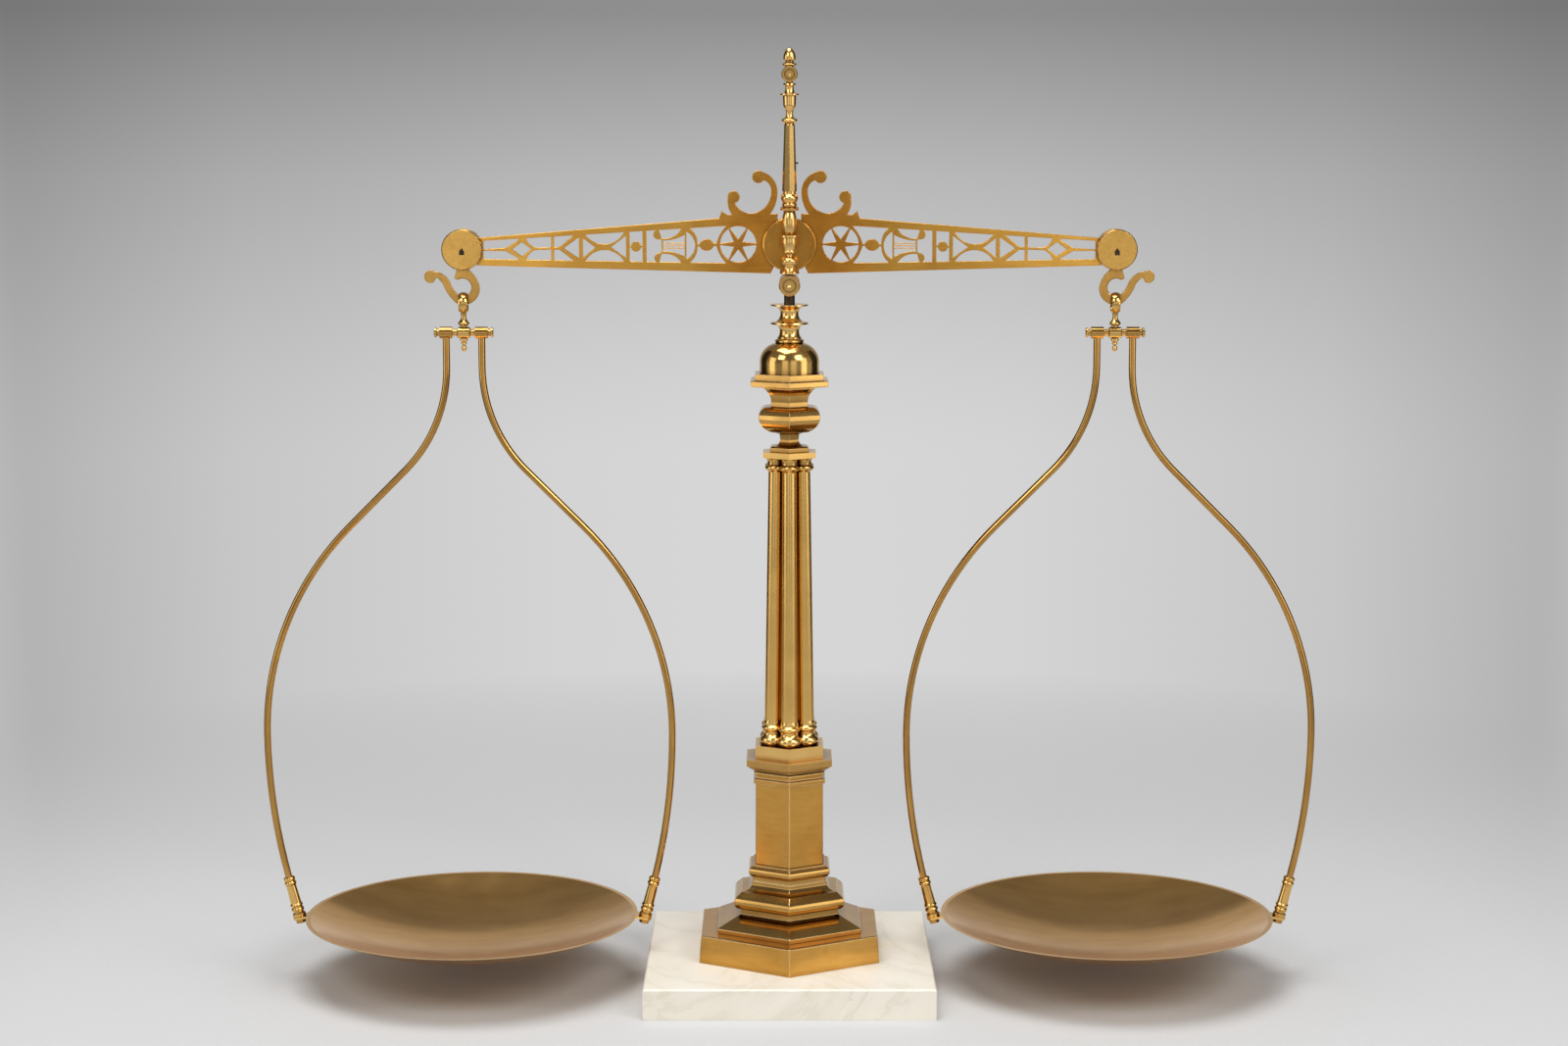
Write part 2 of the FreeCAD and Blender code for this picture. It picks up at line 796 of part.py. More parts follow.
def mirrored_back(corners):
    """The same outline on the other side, followed from its end back to its start."""
    rows = []
    for index in range(len(corners) - 1, -1, -1):
        row = (flipped(corners[index][0]), corners[index][1])
        if index and len(corners[index - 1]) == 4:
            row += (flipped(corners[index - 1][2]), corners[index - 1][3])
        rows.append(row)
    return rows


def flipped(expression):
    return expression if expression == "0" else f"-({expression})"


def cylinder(label, radius, height):
    piece = doc.addObject("Part::Cylinder", label)
    piece.setExpression("Radius", radius)
    piece.setExpression("Height", height)
    return keep(piece, label)


def cut_one_way(body, sketch, length, reverse=False):
    """Cuts a sketch out of a body to one side: against the sketch's normal unless reversed."""
    doc.recompute()
    before = body.Shape.Volume
    feature = body.newObject("PartDesign::Pocket", f"{sketch.Name}_cut")
    feature.Profile = sketch
    feature.Reversed = reverse
    feature.setExpression("Length", length)
    doc.recompute()
    if body.Shape.Volume >= before:
        raise RuntimeError(f"{body.Label}: {sketch.Name} cuts nothing")
    return feature


def polar_copies(body, feature, count):
    """Repeats a feature about the body's upright axis."""
    pattern = body.newObject("PartDesign::PolarPattern", f"{feature.Name}_copies")
    pattern.Originals = [feature]
    pattern.Axis = (origin_part(body, "Z_Axis"), [""])
    pattern.Angle = 360
    pattern.Occurrences = count
    body.Tip = pattern
    return pattern


def regular_corners(name, sides, first_degrees):
    """Corners of a regular outline whose flats lie a named size from the middle."""
    reach = 1 / cos(pi / sides)
    corners = []
    for index in range(sides):
        turn = radians(first_degrees + 360.0 * index / sides)
        shares = [round(reach * part, 6) for part in (cos(turn), sin(turn))]
        corners.append(tuple(size(name, share) if share else "0" for share in shares))
    return corners


def bore_column_piece(body, height):
    """Bores a piece of the column for the tie rod."""
    sketch = new_sketch(body, "XY_Plane", "bore")
    draw_circle(sketch, "0", "0", TIE_BORE)
    cut_through(body, sketch, size(height, 2 * OVERRUN_SHARE))


def build_slab():
    body = new_body("marble_slab")
    sketch = new_sketch(body, "XY_Plane", "outline")
    across = size("slab_width", 0.5)
    back = size("slab_depth", 0.5)
    front = flipped(back)
    left = flipped(across)
    draw(sketch, [(left, front), (across, front), (across, back), (left, back)])
    block = pad(body, sketch, size("slab_thickness"), middle=False)
    doc.recompute()
    faces = enumerate(block.Shape.Faces, start=1)
    top = max(faces, key=lambda row: row[1].CenterOfMass.z)[0]
    bevel = body.newObject("PartDesign::Chamfer", "marble_slab_bevel")
    bevel.Base = (block, [f"Face{top}"])
    bevel.setExpression("Size", size("slab_bevel"))
    bore_column_piece(body, "slab_thickness")
    recess = new_sketch(body, "XY_Plane", "recess")
    draw_circle(recess, "0", "0", size("recess_radius"))
    cut_through(body, recess, size("recess_depth", 2))


def build_tie_rod():
    """Rod, washer and nut that draw the column down on the slab from a recess below it."""
    washer_level = "Sizes.recess_depth - Sizes.washer_thickness"
    nut_level = f"{washer_level} - Sizes.nut_thickness"
    rod_level = f"{nut_level} - Sizes.thread_end"
    rod_top = f"{level('spool_height')} + Sizes.tie_grip - Sizes.thread_end"
    rod = cylinder("tie_rod", size("tie_radius"), f"{rod_top} - ({rod_level})")
    place(rod, up=rod_level)
    ring = [(TIE_BORE, "0"), (size("washer_radius"), "0"), (size("washer_radius"), size("washer_thickness"))]
    washer = turned("tie_rod_washer", ring + [(TIE_BORE, size("washer_thickness"))])
    place(washer, up=washer_level)
    nut = new_body("tie_rod_nut")
    sketch = new_sketch(nut, "XY_Plane", "outline")
    draw(sketch, regular_corners("nut_radius", 6, 0.0))
    draw_circle(sketch, "0", "0", total("tie_radius", "fit_gap"))
    pad(nut, sketch, size("nut_thickness"), middle=False)
    place(nut, up=nut_level)


def build_hexagonal_pieces():
    for label, shares, wide, tall in (
        ("hex_plinth", PLINTH_SHARES, "plinth_apothem", "plinth_height"),
        ("stepped_base", STEP_SHARES, "step_apothem", "step_height"),
        ("pedestal", PEDESTAL_SHARES, "pedestal_apothem", "pedestal_height"),
        ("pedestal_cornice", CORNICE_SHARES, "cornice_apothem", "cornice_height"),
        ("hex_vase", VASE_SHARES, "vase_apothem", "vase_height"),
        ("hex_collar", COLLAR_SHARES, "collar_apothem", "collar_height"),
    ):
        piece = hexagonal(label, shares, wide, tall, TIE_BORE)
        place(piece, up=level(tall))


def ring_cluster(body, shares, pitch, wide, base, tall):
    """Six turned rings round the column's axis, one under or over each shaft of the cluster."""
    sketch = new_sketch(body, "YZ_Plane", "rings")
    bottom = base
    top = f"{base} + {tall}"
    corners = [(size(pitch), bottom)]
    for row in shares:
        corner = []
        for index, share in enumerate(row):
            if index % 2 == 0:
                corner.append(f"{size(pitch)} + {size(wide, share)}")
            else:
                corner.append(bottom if share == 0 else f"{base} + {tall} * {share}")
        corners.append(tuple(corner))
    corners.append((size(pitch), top))
    draw(sketch, corners)
    spots = [FreeCAD.Vector(number_of(size(pitch)), number_of(spot), 0) for spot in (bottom, top)]
    axis = sketch.addGeometry(Part.LineSegment(*spots), True)
    rows = tie_point(sketch, axis, 1, size(pitch), bottom)
    rows += tie_point(sketch, axis, 2, size(pitch), top)
    bind(sketch, rows)
    rings = revolve(body, sketch, "Axis0")
    doc.recompute()
    polar_copies(body, rings, COLONNETTES)
    doc.recompute()


def build_column():
    foot = new_body("column_foot")
    block = new_sketch(foot, "XY_Plane", "block")
    draw(block, regular_corners("foot_block_apothem", 6, 30.0))
    pad(foot, block, size("foot_block_height"), middle=False)
    core = new_sketch(foot, "XY_Plane", "core")
    draw_circle(core, "0", "0", size("low_core_radius"))
    pad(foot, core, size("foot_height"), middle=False)
    base = size("foot_block_height")
    tall = "(Sizes.foot_height - Sizes.foot_block_height)"
    ring_cluster(foot, FOOT_RING_SHARES, "low_shaft_pitch", "foot_ring_radius", base, tall)
    bore_column_piece(foot, "foot_height")
    place(foot, up=level("foot_height"))

    shaft = new_body("column_shaft")
    core = new_sketch(shaft, "XZ_Plane", "core")
    cone = [(size("low_core_radius"), "0"), (size("high_core_radius"), size("column_height"))]
    draw(core, bored(cone, TIE_BORE, "column_height"))
    revolve(shaft, core)
    low = new_sketch(shaft, "XY_Plane", "low")
    draw_circle(low, "0", size("low_shaft_pitch"), size("low_shaft_radius"))
    high = new_sketch(shaft, "XY_Plane", "high")
    high.setExpression("AttachmentOffset.Base.z", size("column_height"))
    draw_circle(high, "0", size("high_shaft_pitch"), size("high_shaft_radius"))
    colonnette = shaft.newObject("PartDesign::AdditiveLoft", "column_shaft_colonnette")
    colonnette.Profile = low
    colonnette.Sections = [high]
    colonnette.Ruled = True
    doc.recompute()
    polar_copies(shaft, colonnette, COLONNETTES)
    place(shaft, up=level("column_height"))

    capital = new_body("column_capital")
    core = new_sketch(capital, "XY_Plane", "core")
    draw_circle(core, "0", "0", size("high_core_radius"))
    pad(capital, core, size("capital_height"), middle=False)
    slab = new_sketch(capital, "XY_Plane", "abacus")
    slab.setExpression("AttachmentOffset.Base.z", "Sizes.capital_height - Sizes.abacus_height")
    draw(slab, regular_corners("abacus_apothem", 6, 30.0))
    pad(capital, slab, size("abacus_height"), middle=False)
    tall = "(Sizes.capital_height - Sizes.abacus_height)"
    ring_cluster(capital, CAPITAL_RING_SHARES, "high_shaft_pitch", "capital_ring_radius", "0", tall)
    bore_column_piece(capital, "capital_height")
    place(capital, up=level("capital_height"))


def build_neck():
    rows = scaled(DOME_SHARES, "dome_radius", "dome_height")
    dome = turned("dome_cap", bored(rows, TIE_BORE, "dome_height"))
    place(dome, up=level("dome_height"))
    stem_bore = total("stem_radius", "fit_gap")
    stem_seat = "Sizes.spool_height - Sizes.stem_grip"
    inside = [
        (stem_bore, size("spool_height")),
        (stem_bore, stem_seat),
        ("0", stem_seat),
        ("0", size("tie_grip")),
        (TIE_BORE, size("tie_grip")),
        (TIE_BORE, "0"),
    ]
    spool = turned("neck_spool", scaled(SPOOL_SHARES, "spool_radius", "spool_height") + inside)
    place(spool, up=level("spool_height"))
    stem = cylinder("yoke_stem", size("stem_radius"), total("stem_grip", "stem_show", "lower_boss_radius"))
    place(stem, up=f"{level('spool_height')} + {stem_seat}")


def crosshead(label, boss, bar):
    """A cross bar with a round boss at each end, one over the other spindle, faced with a ring."""
    inner = "Sizes.spindle_offset - Sizes.boss_length * 0.5"
    half = [(inner, size(bar)), (inner, size(boss))]
    for along, radius in BOSS_FACE_SHARES:
        place_of = f"Sizes.spindle_offset + Sizes.boss_length * {along}"
        half.append((place_of, size(boss, radius) if radius else "0"))
    return turned(label, half + mirrored_back(half), "YZ_Plane", "H_Axis")


def bore_bosses(body, name, boss, reverse):
    """Bores both bosses for the spindle or finial tenons, upwards or downwards from the axis."""
    sketch = new_sketch(body, "XY_Plane", name)
    for back in (size("spindle_offset", -1.0), size("spindle_offset")):
        draw_circle(sketch, "0", back, TENON_BORE)
    cut_one_way(body, sketch, size(boss, OVERRUN_SHARE), reverse)


def build_crossheads():
    lower = crosshead("lower_crosshead", "lower_boss_radius", "lower_bar_radius")
    bore_bosses(lower, "spindle_bores", "lower_boss_radius", True)
    stem = new_sketch(lower, "XY_Plane", "stem_bore")
    draw_circle(stem, "0", "0", total("stem_radius", "fit_gap"))
    cut_one_way(lower, stem, size("lower_boss_radius", OVERRUN_SHARE))
    place(lower, up=LOWER_AXIS)
    upper = crosshead("upper_crosshead", "upper_boss_radius", "upper_bar_radius")
    bore_bosses(upper, "finial_bores", "upper_boss_radius", True)
    bore_bosses(upper, "spindle_bores", "upper_boss_radius", False)
    place(upper, up=UPPER_AXIS)


def low_height(share):
    """Height on a spindle as a share of the way from the lower boss to the pivot."""
    return f"Sizes.lower_boss_radius + (Sizes.pivot_rise - Sizes.lower_boss_radius) * {share}"


def high_height(share):
    """Height on a spindle as a share of its head, which ends at the upper boss."""
    return f"Sizes.yoke_height - Sizes.upper_boss_radius - Sizes.spindle_head * {1 - share:.5f}"


def spindle_rows(shares, height_of):
    rows = []
    for row in shares:
        rows.append(tuple(height_of(s) if i % 2 else size("spindle_radius", s) for i, s in enumerate(row)))
    return rows


def build_spindle(label, turn, back):
    """Turned spindle with an eight-sided shaft and a pocket in its urn for the knife bearing."""
    body = new_body(label)
    low = new_sketch(body, "XZ_Plane", "low")
    foot = "Sizes.lower_boss_radius - Sizes.tenon_length"
    tenon = [("0", foot), (size("tenon_radius"), foot), (size("tenon_radius"), low_height(0))]
    rows = spindle_rows(SPINDLE_LOW_SHARES, low_height)
    draw(low, tenon + rows + [("0", rows[-1][1])])
    revolve(body, low)
    high = new_sketch(body, "XZ_Plane", "high")
    head = "Sizes.yoke_height - Sizes.upper_boss_radius + Sizes.tenon_length"
    rows = spindle_rows(SPINDLE_HIGH_SHARES, high_height)
    tenon = [(size("tenon_radius"), high_height(1)), (size("tenon_radius"), head), ("0", head)]
    draw(high, rows + tenon + [("0", rows[0][1])])
    ends = []
    for name, flats, height in (
        ("shaft_low", "shaft_low_flats", low_height(SPINDLE_LOW_SHARES[-1][1])),
        ("shaft_high", "shaft_high_flats", high_height(0)),
    ):
        sketch = new_sketch(body, "XY_Plane", name)
        sketch.setExpression("AttachmentOffset.Base.z", height)
        draw(sketch, regular_corners(flats, SHAFT_SIDES, 0.0))
        ends.append(sketch)
    shaft = body.newObject("PartDesign::AdditiveLoft", f"{label}_shaft")
    shaft.Profile = ends[0]
    shaft.Sections = ends[1:]
    shaft.Ruled = True
    doc.recompute()
    revolve(body, high)
    pocket = new_sketch(body, "XZ_Plane", "bearing_pocket")
    pocket.setExpression("AttachmentOffset.Base.z", POCKET_BACK)
    half = total("bearing_half_width", "fit_gap")
    floor = "Sizes.pivot_rise - Sizes.bearing_height - Sizes.fit_gap"
    roof = total("pivot_rise", "knife_depth", "knife_end_gap")
    draw(pocket, [(flipped(half), floor), (half, floor), (half, roof), (flipped(half), roof)])
    cut_one_way(body, pocket, f"{POCKET_BACK} + {size('spindle_radius', OVERRUN_SHARE)}")
    place(body, back=back, up=LOWER_AXIS, turn=turn)


def build_bearing(label, back):
    """Steel block with a shallow groove in which the beam's knife edge rests."""
    body = new_body(label)
    sketch = new_sketch(body, "XZ_Plane", "outline")
    half = size("bearing_half_width")
    bottom = size("bearing_height", -1.0)
    apex = "-Sizes.knife_tip_radius - Sizes.seat_gap"
    top = f"{apex} + Sizes.groove_depth"
    groove = size("groove_half_width")
    right = [(half, bottom), (half, top), (groove, top)]
    left = [(flipped(across), up) for across, up in reversed(right)]
    draw(sketch, right + [("0", apex)] + left)
    pad(body, sketch, size("bearing_depth"))
    place(body, back=back, up=PIVOT_LEVEL)


def build_finial(label, back):
    rows = scaled(FINIAL_SHARES, "finial_radius", "finial_height")
    foot = size("tenon_length", -1.0)
    tenon = [("0", foot), (size("tenon_radius"), foot), (size("tenon_radius"), "0")]
    finial = turned(label, tenon + rows)
    place(finial, back=back, up=f"{UPPER_AXIS} + Sizes.upper_boss_radius")


def build_yoke():
    build_crossheads()
    inward = f"Sizes.bearing_depth * 0.5 - ({POCKET_BACK}) + Sizes.fit_gap"
    for name, side, turn in (("front", -1, 0.0), ("rear", 1, 180.0)):
        back = size("spindle_offset", float(side))
        build_spindle(f"{name}_spindle", turn, back)
        build_bearing(f"{name}_bearing", f"{back} - ({inward}) * {side}")
        build_finial(f"{name}_finial", back)
    pin = cylinder("index_pin", size("index_pin_radius"), size("index_pin_length"))
    pin.Placement.Rotation = FreeCAD.Rotation(FreeCAD.Vector(0, 1, 0), 90)
    flat = f"({size('shaft_low_flats', 1 - INDEX_SHARE)} + {size('shaft_high_flats', INDEX_SHARE)})"
    corner = f"{flat} / cos(180 deg / {SHAFT_SIDES})"
    pin.setExpression("Placement.Base.x", f"{corner} + Sizes.seat_gap")
    pin.setExpression("Placement.Base.y", size("spindle_offset", -1.0))
    low = low_height(SPINDLE_LOW_SHARES[-1][1])
    height = f"({low}) * {1 - INDEX_SHARE} + ({high_height(0)}) * {INDEX_SHARE}"
    pin.setExpression("Placement.Base.z", f"{LOWER_AXIS} + {height}")


def knife_corners(side, gap="0", lift="0"):
    """Section of a knife edge at the pivot: a rounded tip, two flanks and a square back.

    Side 1 has its edge below and side -1 has it above; a gap widens it for the hole it fits."""
    tip = f"(Sizes.knife_tip_radius + {gap})"
    half = f"(Sizes.knife_half_width + {gap})"
    touch = f"{tip} * {WEDGE_RISE_SHARE}"
    low = f"{lift} - {side} * {tip} * {WEDGE_RUN_SHARE}"
    slope = WEDGE_RISE_SHARE / WEDGE_RUN_SHARE
    shoulder = f"{low} + {side} * ({half} - {touch}) * {slope:.5f}"
    top = f"{lift} + {side} * (Sizes.knife_depth + {gap})"
    edge = f"{lift} - {side} * {tip}"
    return [
        (flipped(touch), low, "0", edge),
        (touch, low),
        (half, shoulder),
        (half, top),
        (flipped(half), top),
        (flipped(half), shoulder),
    ]


def cut_knife_hole(body, side, lift="0", length="0"):
    sketch = new_sketch(body, "XZ_Plane", "knife_hole")
    draw(sketch, knife_corners(side, "Sizes.fit_gap", lift))
    cut_through(body, sketch, length)


def build_knife(label, side, half_length, across, up):
    body = new_body(label)
    sketch = new_sketch(body, "XZ_Plane", "section")
    draw(sketch, knife_corners(side))
    pad(body, sketch, f"({half_length}) * 2")
    place(body, across=across, up=up)


def rail_height(share, rise, fall):
    """Height of the beam's top edge (rise) or bottom edge (fall) at a share of the arm."""
    return f"{size(rise, 1 - share)} + {size(fall, share)}"


def fret_corner(row):
    """Place of a fret corner from its shares along the arm and between the two rails."""
    corner = []
    for along, across in zip(row[0::2], row[1::2]):
        top = f"({rail_height(along, 'beam_root_rise', 'beam_tip_rise')}"
        top += f" - ({rail_height(along, 'upper_rail_root', 'upper_rail_tip')}))"
        bottom = f"({rail_height(along, 'lower_rail_root', 'lower_rail_tip')}"
        bottom += f" - ({rail_height(along, 'beam_root_fall', 'beam_tip_fall')}))"
        corner.append(size("arm_length", along))
        corner.append(f"{top} * {(1 + across) / 2:.5f} + {bottom} * {(1 - across) / 2:.5f}")
    return tuple(corner)


def beam_outline():
    """Half outline of the beam plate, from the notch over its middle round to the one below."""
    end = "Sizes.arm_length - Sizes.plate_setback"
    top_notch = size("notch_width", NOTCH_TOP_SHARE)
    notch = size("notch_width", 0.5)
    corner = size("notch_width", NOTCH_CORNER_SHARE)
    bottom = size("notch_depth", -1.0)
    return [
        ("0", size("notch_depth")),
        (top_notch, size("notch_depth")),
        (top_notch, size("beam_root_rise", NOTCH_LIP_SHARE)),
        (end, rail_height(1.0, "beam_root_rise", "beam_tip_rise")),
        (end, flipped(rail_height(1.0, "beam_root_fall", "beam_tip_fall"))),
        (corner, size("beam_root_fall", -NOTCH_FOOT_SHARE)),
        (notch, size("beam_root_fall", -NOTCH_RISE_SHARE)),
        (notch, bottom),
        ("0", bottom),
    ]


def scroll_outline():
    root = size("beam_root_rise", SCROLL_ROOT_SHARE)
    cusp = (size("scroll_reach"), size("beam_root_rise", SCROLL_CUSP_SHARE))
    first = size("scroll_reach", SCROLL_SHARES[0][0])
    return scaled(SCROLL_SHARES, "scroll_reach", "scroll_top") + [cusp, (cusp[0], root), (first, root)]


def wheel_openings():
    """Openings between the points of the six-armed star, as places round the wheel's middle."""
    centre = fret_corner((WHEEL_PLACE_SHARE, 0.0))
    step = 360.0 / WHEEL_ARM_COUNT
    openings = []
    for arm in range(WHEEL_ARM_COUNT):
        spots = []
        for turn, reach in (
            (WHEEL_TIP_DEGREES, 1.0),
            (step / 2, 1.0),
            (step - WHEEL_TIP_DEGREES, 1.0),
            (step / 2, WHEEL_HUB_SHARE),
        ):
            angle = radians(arm * step + turn)
            across = f"{centre[0]} + {size('wheel_radius', reach * cos(angle))}"
            spots.append((across, f"{centre[1]} + {size('wheel_radius', reach * sin(angle))}"))
        openings.append([spots[0] + spots[1], spots[2], spots[3]])
    return openings


def rivet_spots():
    """Rivets of one arm: the pair at the end cheeks, from the pivot."""
    across = "Sizes.arm_length - (Sizes.plate_setback + Sizes.cheek_radius) * 0.5"
    middle = "-Sizes.pivot_drop - Sizes.cheek_drop"
    return [(across, f"{middle} + {size('cheek_radius', share)}") for share in END_RIVET_SHARES]


def build_beam_plate():
    body = new_body("beam_plate")
    plate = new_sketch(body, "XZ_Plane", "outline")
    draw(plate, beam_outline())
    features = [pad(body, plate, size("plate_thickness"))]
    scroll = new_sketch(body, "XZ_Plane", "scroll")
    draw(scroll, scroll_outline())
    features.append(pad(body, scroll, size("plate_thickness")))
    depth = size("plate_thickness", OVERRUN_SHARE)
    for name, panel in FRET_PANELS.items():
        sketch = new_sketch(body, "XZ_Plane", name)
        for opening in panel:
            draw(sketch, [fret_corner(row) for row in opening])
        features.append(cut_through(body, sketch, depth))
    wheel = new_sketch(body, "XZ_Plane", "wheel")
    for opening in wheel_openings():
        draw(wheel, opening)
    features.append(cut_through(body, wheel, depth))
    holes = new_sketch(body, "XZ_Plane", "rivet_holes")
    for across, up in rivet_spots() + [(CENTRE_RIVET_PLACE, "0")]:
        draw_circle(holes, across, up, RIVET_BORE)
    features.append(cut_through(body, holes, depth))
    mirror = body.newObject("PartDesign::Mirrored", "beam_plate_other_arm")
    mirror.Originals = features
    mirror.MirrorPlane = (origin_part(body, "YZ_Plane"), [""])
    body.Tip = mirror
    doc.recompute()
    cut_knife_hole(body, 1, length=depth)
    place(body, up=PIVOT_LEVEL)


def rivet_group(label, spots, half_length):
    """Flush rivets through the beam, kept together as one group of separate solids."""
    rivets = []
    for index, (across, up) in enumerate(spots):
        rivet = doc.addObject("Part::Cylinder", f"{label}_{index}")
        rivet.setExpression("Radius", size("rivet_radius"))
        rivet.setExpression("Height", f"({half_length}) * 2")
        rivet.Placement.Rotation = FreeCAD.Rotation(FreeCAD.Vector(1, 0, 0), 90)
        rivet.setExpression("Placement.Base.x", across)
        rivet.setExpression("Placement.Base.y", half_length)
        rivet.setExpression("Placement.Base.z", f"{PIVOT_LEVEL} + {up}")
        rivets.append(rivet)
    group = doc.addObject("Part::Compound", label)
    group.Links = rivets
    keep(group, label)


def build_disc(label, side, radius, thickness, knife_side, lift, rivets):
    """Round cheek on one face of the beam plate, holed for the knife and the rivets."""
    outer = f"Sizes.{thickness}"
    corners = [
        (f"{side} * {PLATE_FACE}", "0"),
        (f"{side} * {PLATE_FACE}", size(radius)),
        (f"{side} * ({PLATE_FACE} + {outer} * {DISC_EDGE_SHARE})", size(radius)),
        (f"{side} * ({PLATE_FACE} + {outer})", size(radius, DISC_FACE_SHARE)),
        (f"{side} * ({PLATE_FACE} + {outer})", "0"),
    ]
    body = turned(label, corners, "YZ_Plane", "H_Axis")
    reach = f"({PLATE_FACE} + {outer}) * {2 * OVERRUN_SHARE}"
    cut_knife_hole(body, knife_side, lift, reach)
    holes = new_sketch(body, "XZ_Plane", "rivet_holes")
    for across, up in rivets:
        draw_circle(holes, across, up, RIVET_BORE)
    cut_through(body, holes, reach)
    return body


def build_beam_centre():
    spots = [(CENTRE_RIVET_PLACE, "0"), (flipped(CENTRE_RIVET_PLACE), "0")]
    for name, side in (("front", -1), ("rear", 1)):
        label = f"{name}_centre_boss"
        disc = build_disc(label, side, "boss_disc_radius", "boss_disc_thickness", 1, "0", spots)
        place(disc, up=PIVOT_LEVEL)
    rivet_group("centre_rivets", spots, f"{PLATE_FACE} + Sizes.boss_disc_thickness")
    build_knife("centre_knife", 1, total("spindle_offset", "knife_reach"), "0", PIVOT_LEVEL)
    tongue = new_body("tongue")
    sketch = new_sketch(tongue, "XZ_Plane", "outline")
    foot = size("notch_depth")
    tip = total("notch_depth", "tongue_height")
    wide = size("tongue_width", 0.5)
    narrow = size("tongue_tip", 0.5)
    draw(sketch, [(flipped(wide), foot), (wide, foot), (narrow, tip), (flipped(narrow), tip)])
    pad(tongue, sketch, size("tongue_thickness"))
    place(tongue, up=PIVOT_LEVEL)


def build_beam_ends():
    half = f"{PLATE_FACE} + Sizes.cheek_thickness"
    inward = "(Sizes.plate_setback + Sizes.cheek_radius) * 0.5"
    for name, side, _ in SIDES:
        across = size("arm_length", float(side))
        local = [(f"{-side} * {inward}", size("cheek_radius", share)) for share in END_RIVET_SHARES]
        for face, back in (("front", -1), ("rear", 1)):
            label = f"{name}_{face}_cheek"
            cheek = build_disc(label, back, "cheek_radius", "cheek_thickness", -1, "Sizes.cheek_drop", local)
            place(cheek, across=across, up=f"{END_LEVEL} - Sizes.cheek_drop")
        build_knife(f"{name}_end_knife", -1, half, across, END_LEVEL)
        spots = [(f"{side} * ({spot[0]})", spot[1]) for spot in rivet_spots()]
        rivet_group(f"{name}_end_rivets", spots, half)


def build_hook(label, across, turn):
    """Flat hook that hangs by its eye on the end knife, with a curled tail outwards."""
    body = new_body(label)
    sketch = new_sketch(body, "XZ_Plane", "outline")
    middle = "Sizes.knife_tip_radius + Sizes.seat_gap - Sizes.hook_eye_radius"
    outer = total("hook_eye_radius", "hook_wall")
    rows = scaled(HOOK_SHARES, "hook_reach", "hook_drop")
    eye = [(f"-({outer})", middle, "0", f"{middle} + {outer}"), (outer, middle)]
    draw(sketch, rows + eye)
    plate = pad(body, sketch, size("hook_thickness"))
    doc.recompute()
    seat = Part.Vertex(0, 0, number_of(size("hook_drop", -HOOK_SEAT_SHARE)))
    edges = sorted(enumerate(plate.Shape.Edges, start=1), key=lambda row: row[1].distToShape(seat)[0])
    rounds = body.newObject("PartDesign::Fillet", f"{label}_rounds")
    rounds.Base = (plate, [f"Edge{index}" for index, _ in edges[:2]])
    rounds.setExpression("Radius", size("hook_round"))
    hole = new_sketch(body, "XZ_Plane", "eye")
    draw_circle(hole, "0", middle, size("hook_eye_radius"))
    cut_through(body, hole, size("hook_thickness", OVERRUN_SHARE))
    place(body, across=across, up=END_LEVEL, turn=turn)


def build_eye(label, across):
    """Swivel eye: a ring that hangs in the hook, on a shank that passes through the bar."""
    body = new_body(label)
    ring = new_sketch(body, "XZ_Plane", "ring")
    ring.setExpression("AttachmentOffset.Base.y", EYE_RISE)
    half = size("eye_width", 0.5)
    outer = total("eye_inner_radius", "eye_band")
    shoulder = f"Sizes.eye_inner_radius + {size('eye_band', EYE_ROUND_SHARE)}"
    crown = f"{outer} - {size('eye_band', EYE_ROUND_SHARE)}"
    draw(ring, [
        (flipped(half), crown, "0", outer),
        (half, crown),
        (half, shoulder, "0", size("eye_inner_radius")),
        (flipped(half), shoulder),
    ])
    revolve(body, ring, "H_Axis")
    shank = new_sketch(body, "XZ_Plane", "shank")
    base = total("bar_boss_radius", "eye_gap")
    tall = f"({EYE_RISE} - Sizes.eye_inner_radius - Sizes.eye_band * 0.5 - ({base}))"
    foot = f"-({base}) - Sizes.drop_height * {DROP_PIN_SHARE}"
    corners = [
        ("0", foot),
        (size("drop_pin_radius"), foot),
        (size("drop_pin_radius"), flipped(base)),
        (size("shank_radius"), flipped(base)),
        (size("shank_radius"), base),
    ]
    for row in SHANK_SHARES:
        corner = []
        for across_share, up_share in zip(row[0::2], row[1::2]):
            corner.append(size("shank_collar_radius", across_share))
            corner.append(f"{base} + {tall} * {up_share}")
        corners.append(tuple(corner))
    draw(shank, corners + [("0", corners[-1][1])])
    revolve(body, shank)
    place(body, across=across, up=BAR_LEVEL)


def build_drop(label, across):
    """Small turned drop, screwed on the shank under the bar."""
    bore = total("drop_pin_radius", "fit_gap")
    inside = size("drop_height", 1 - DROP_PIN_SHARE - OVERRUN_SHARE + 1)
    closing = [(bore, size("drop_height")), (bore, inside), ("0", inside)]
    drop = turned(label, scaled(DROP_SHARES, "drop_radius", "drop_height") + closing)
    place(drop, across=across, up=f"{BAR_LEVEL} - Sizes.bar_boss_radius - Sizes.eye_gap - Sizes.drop_height")


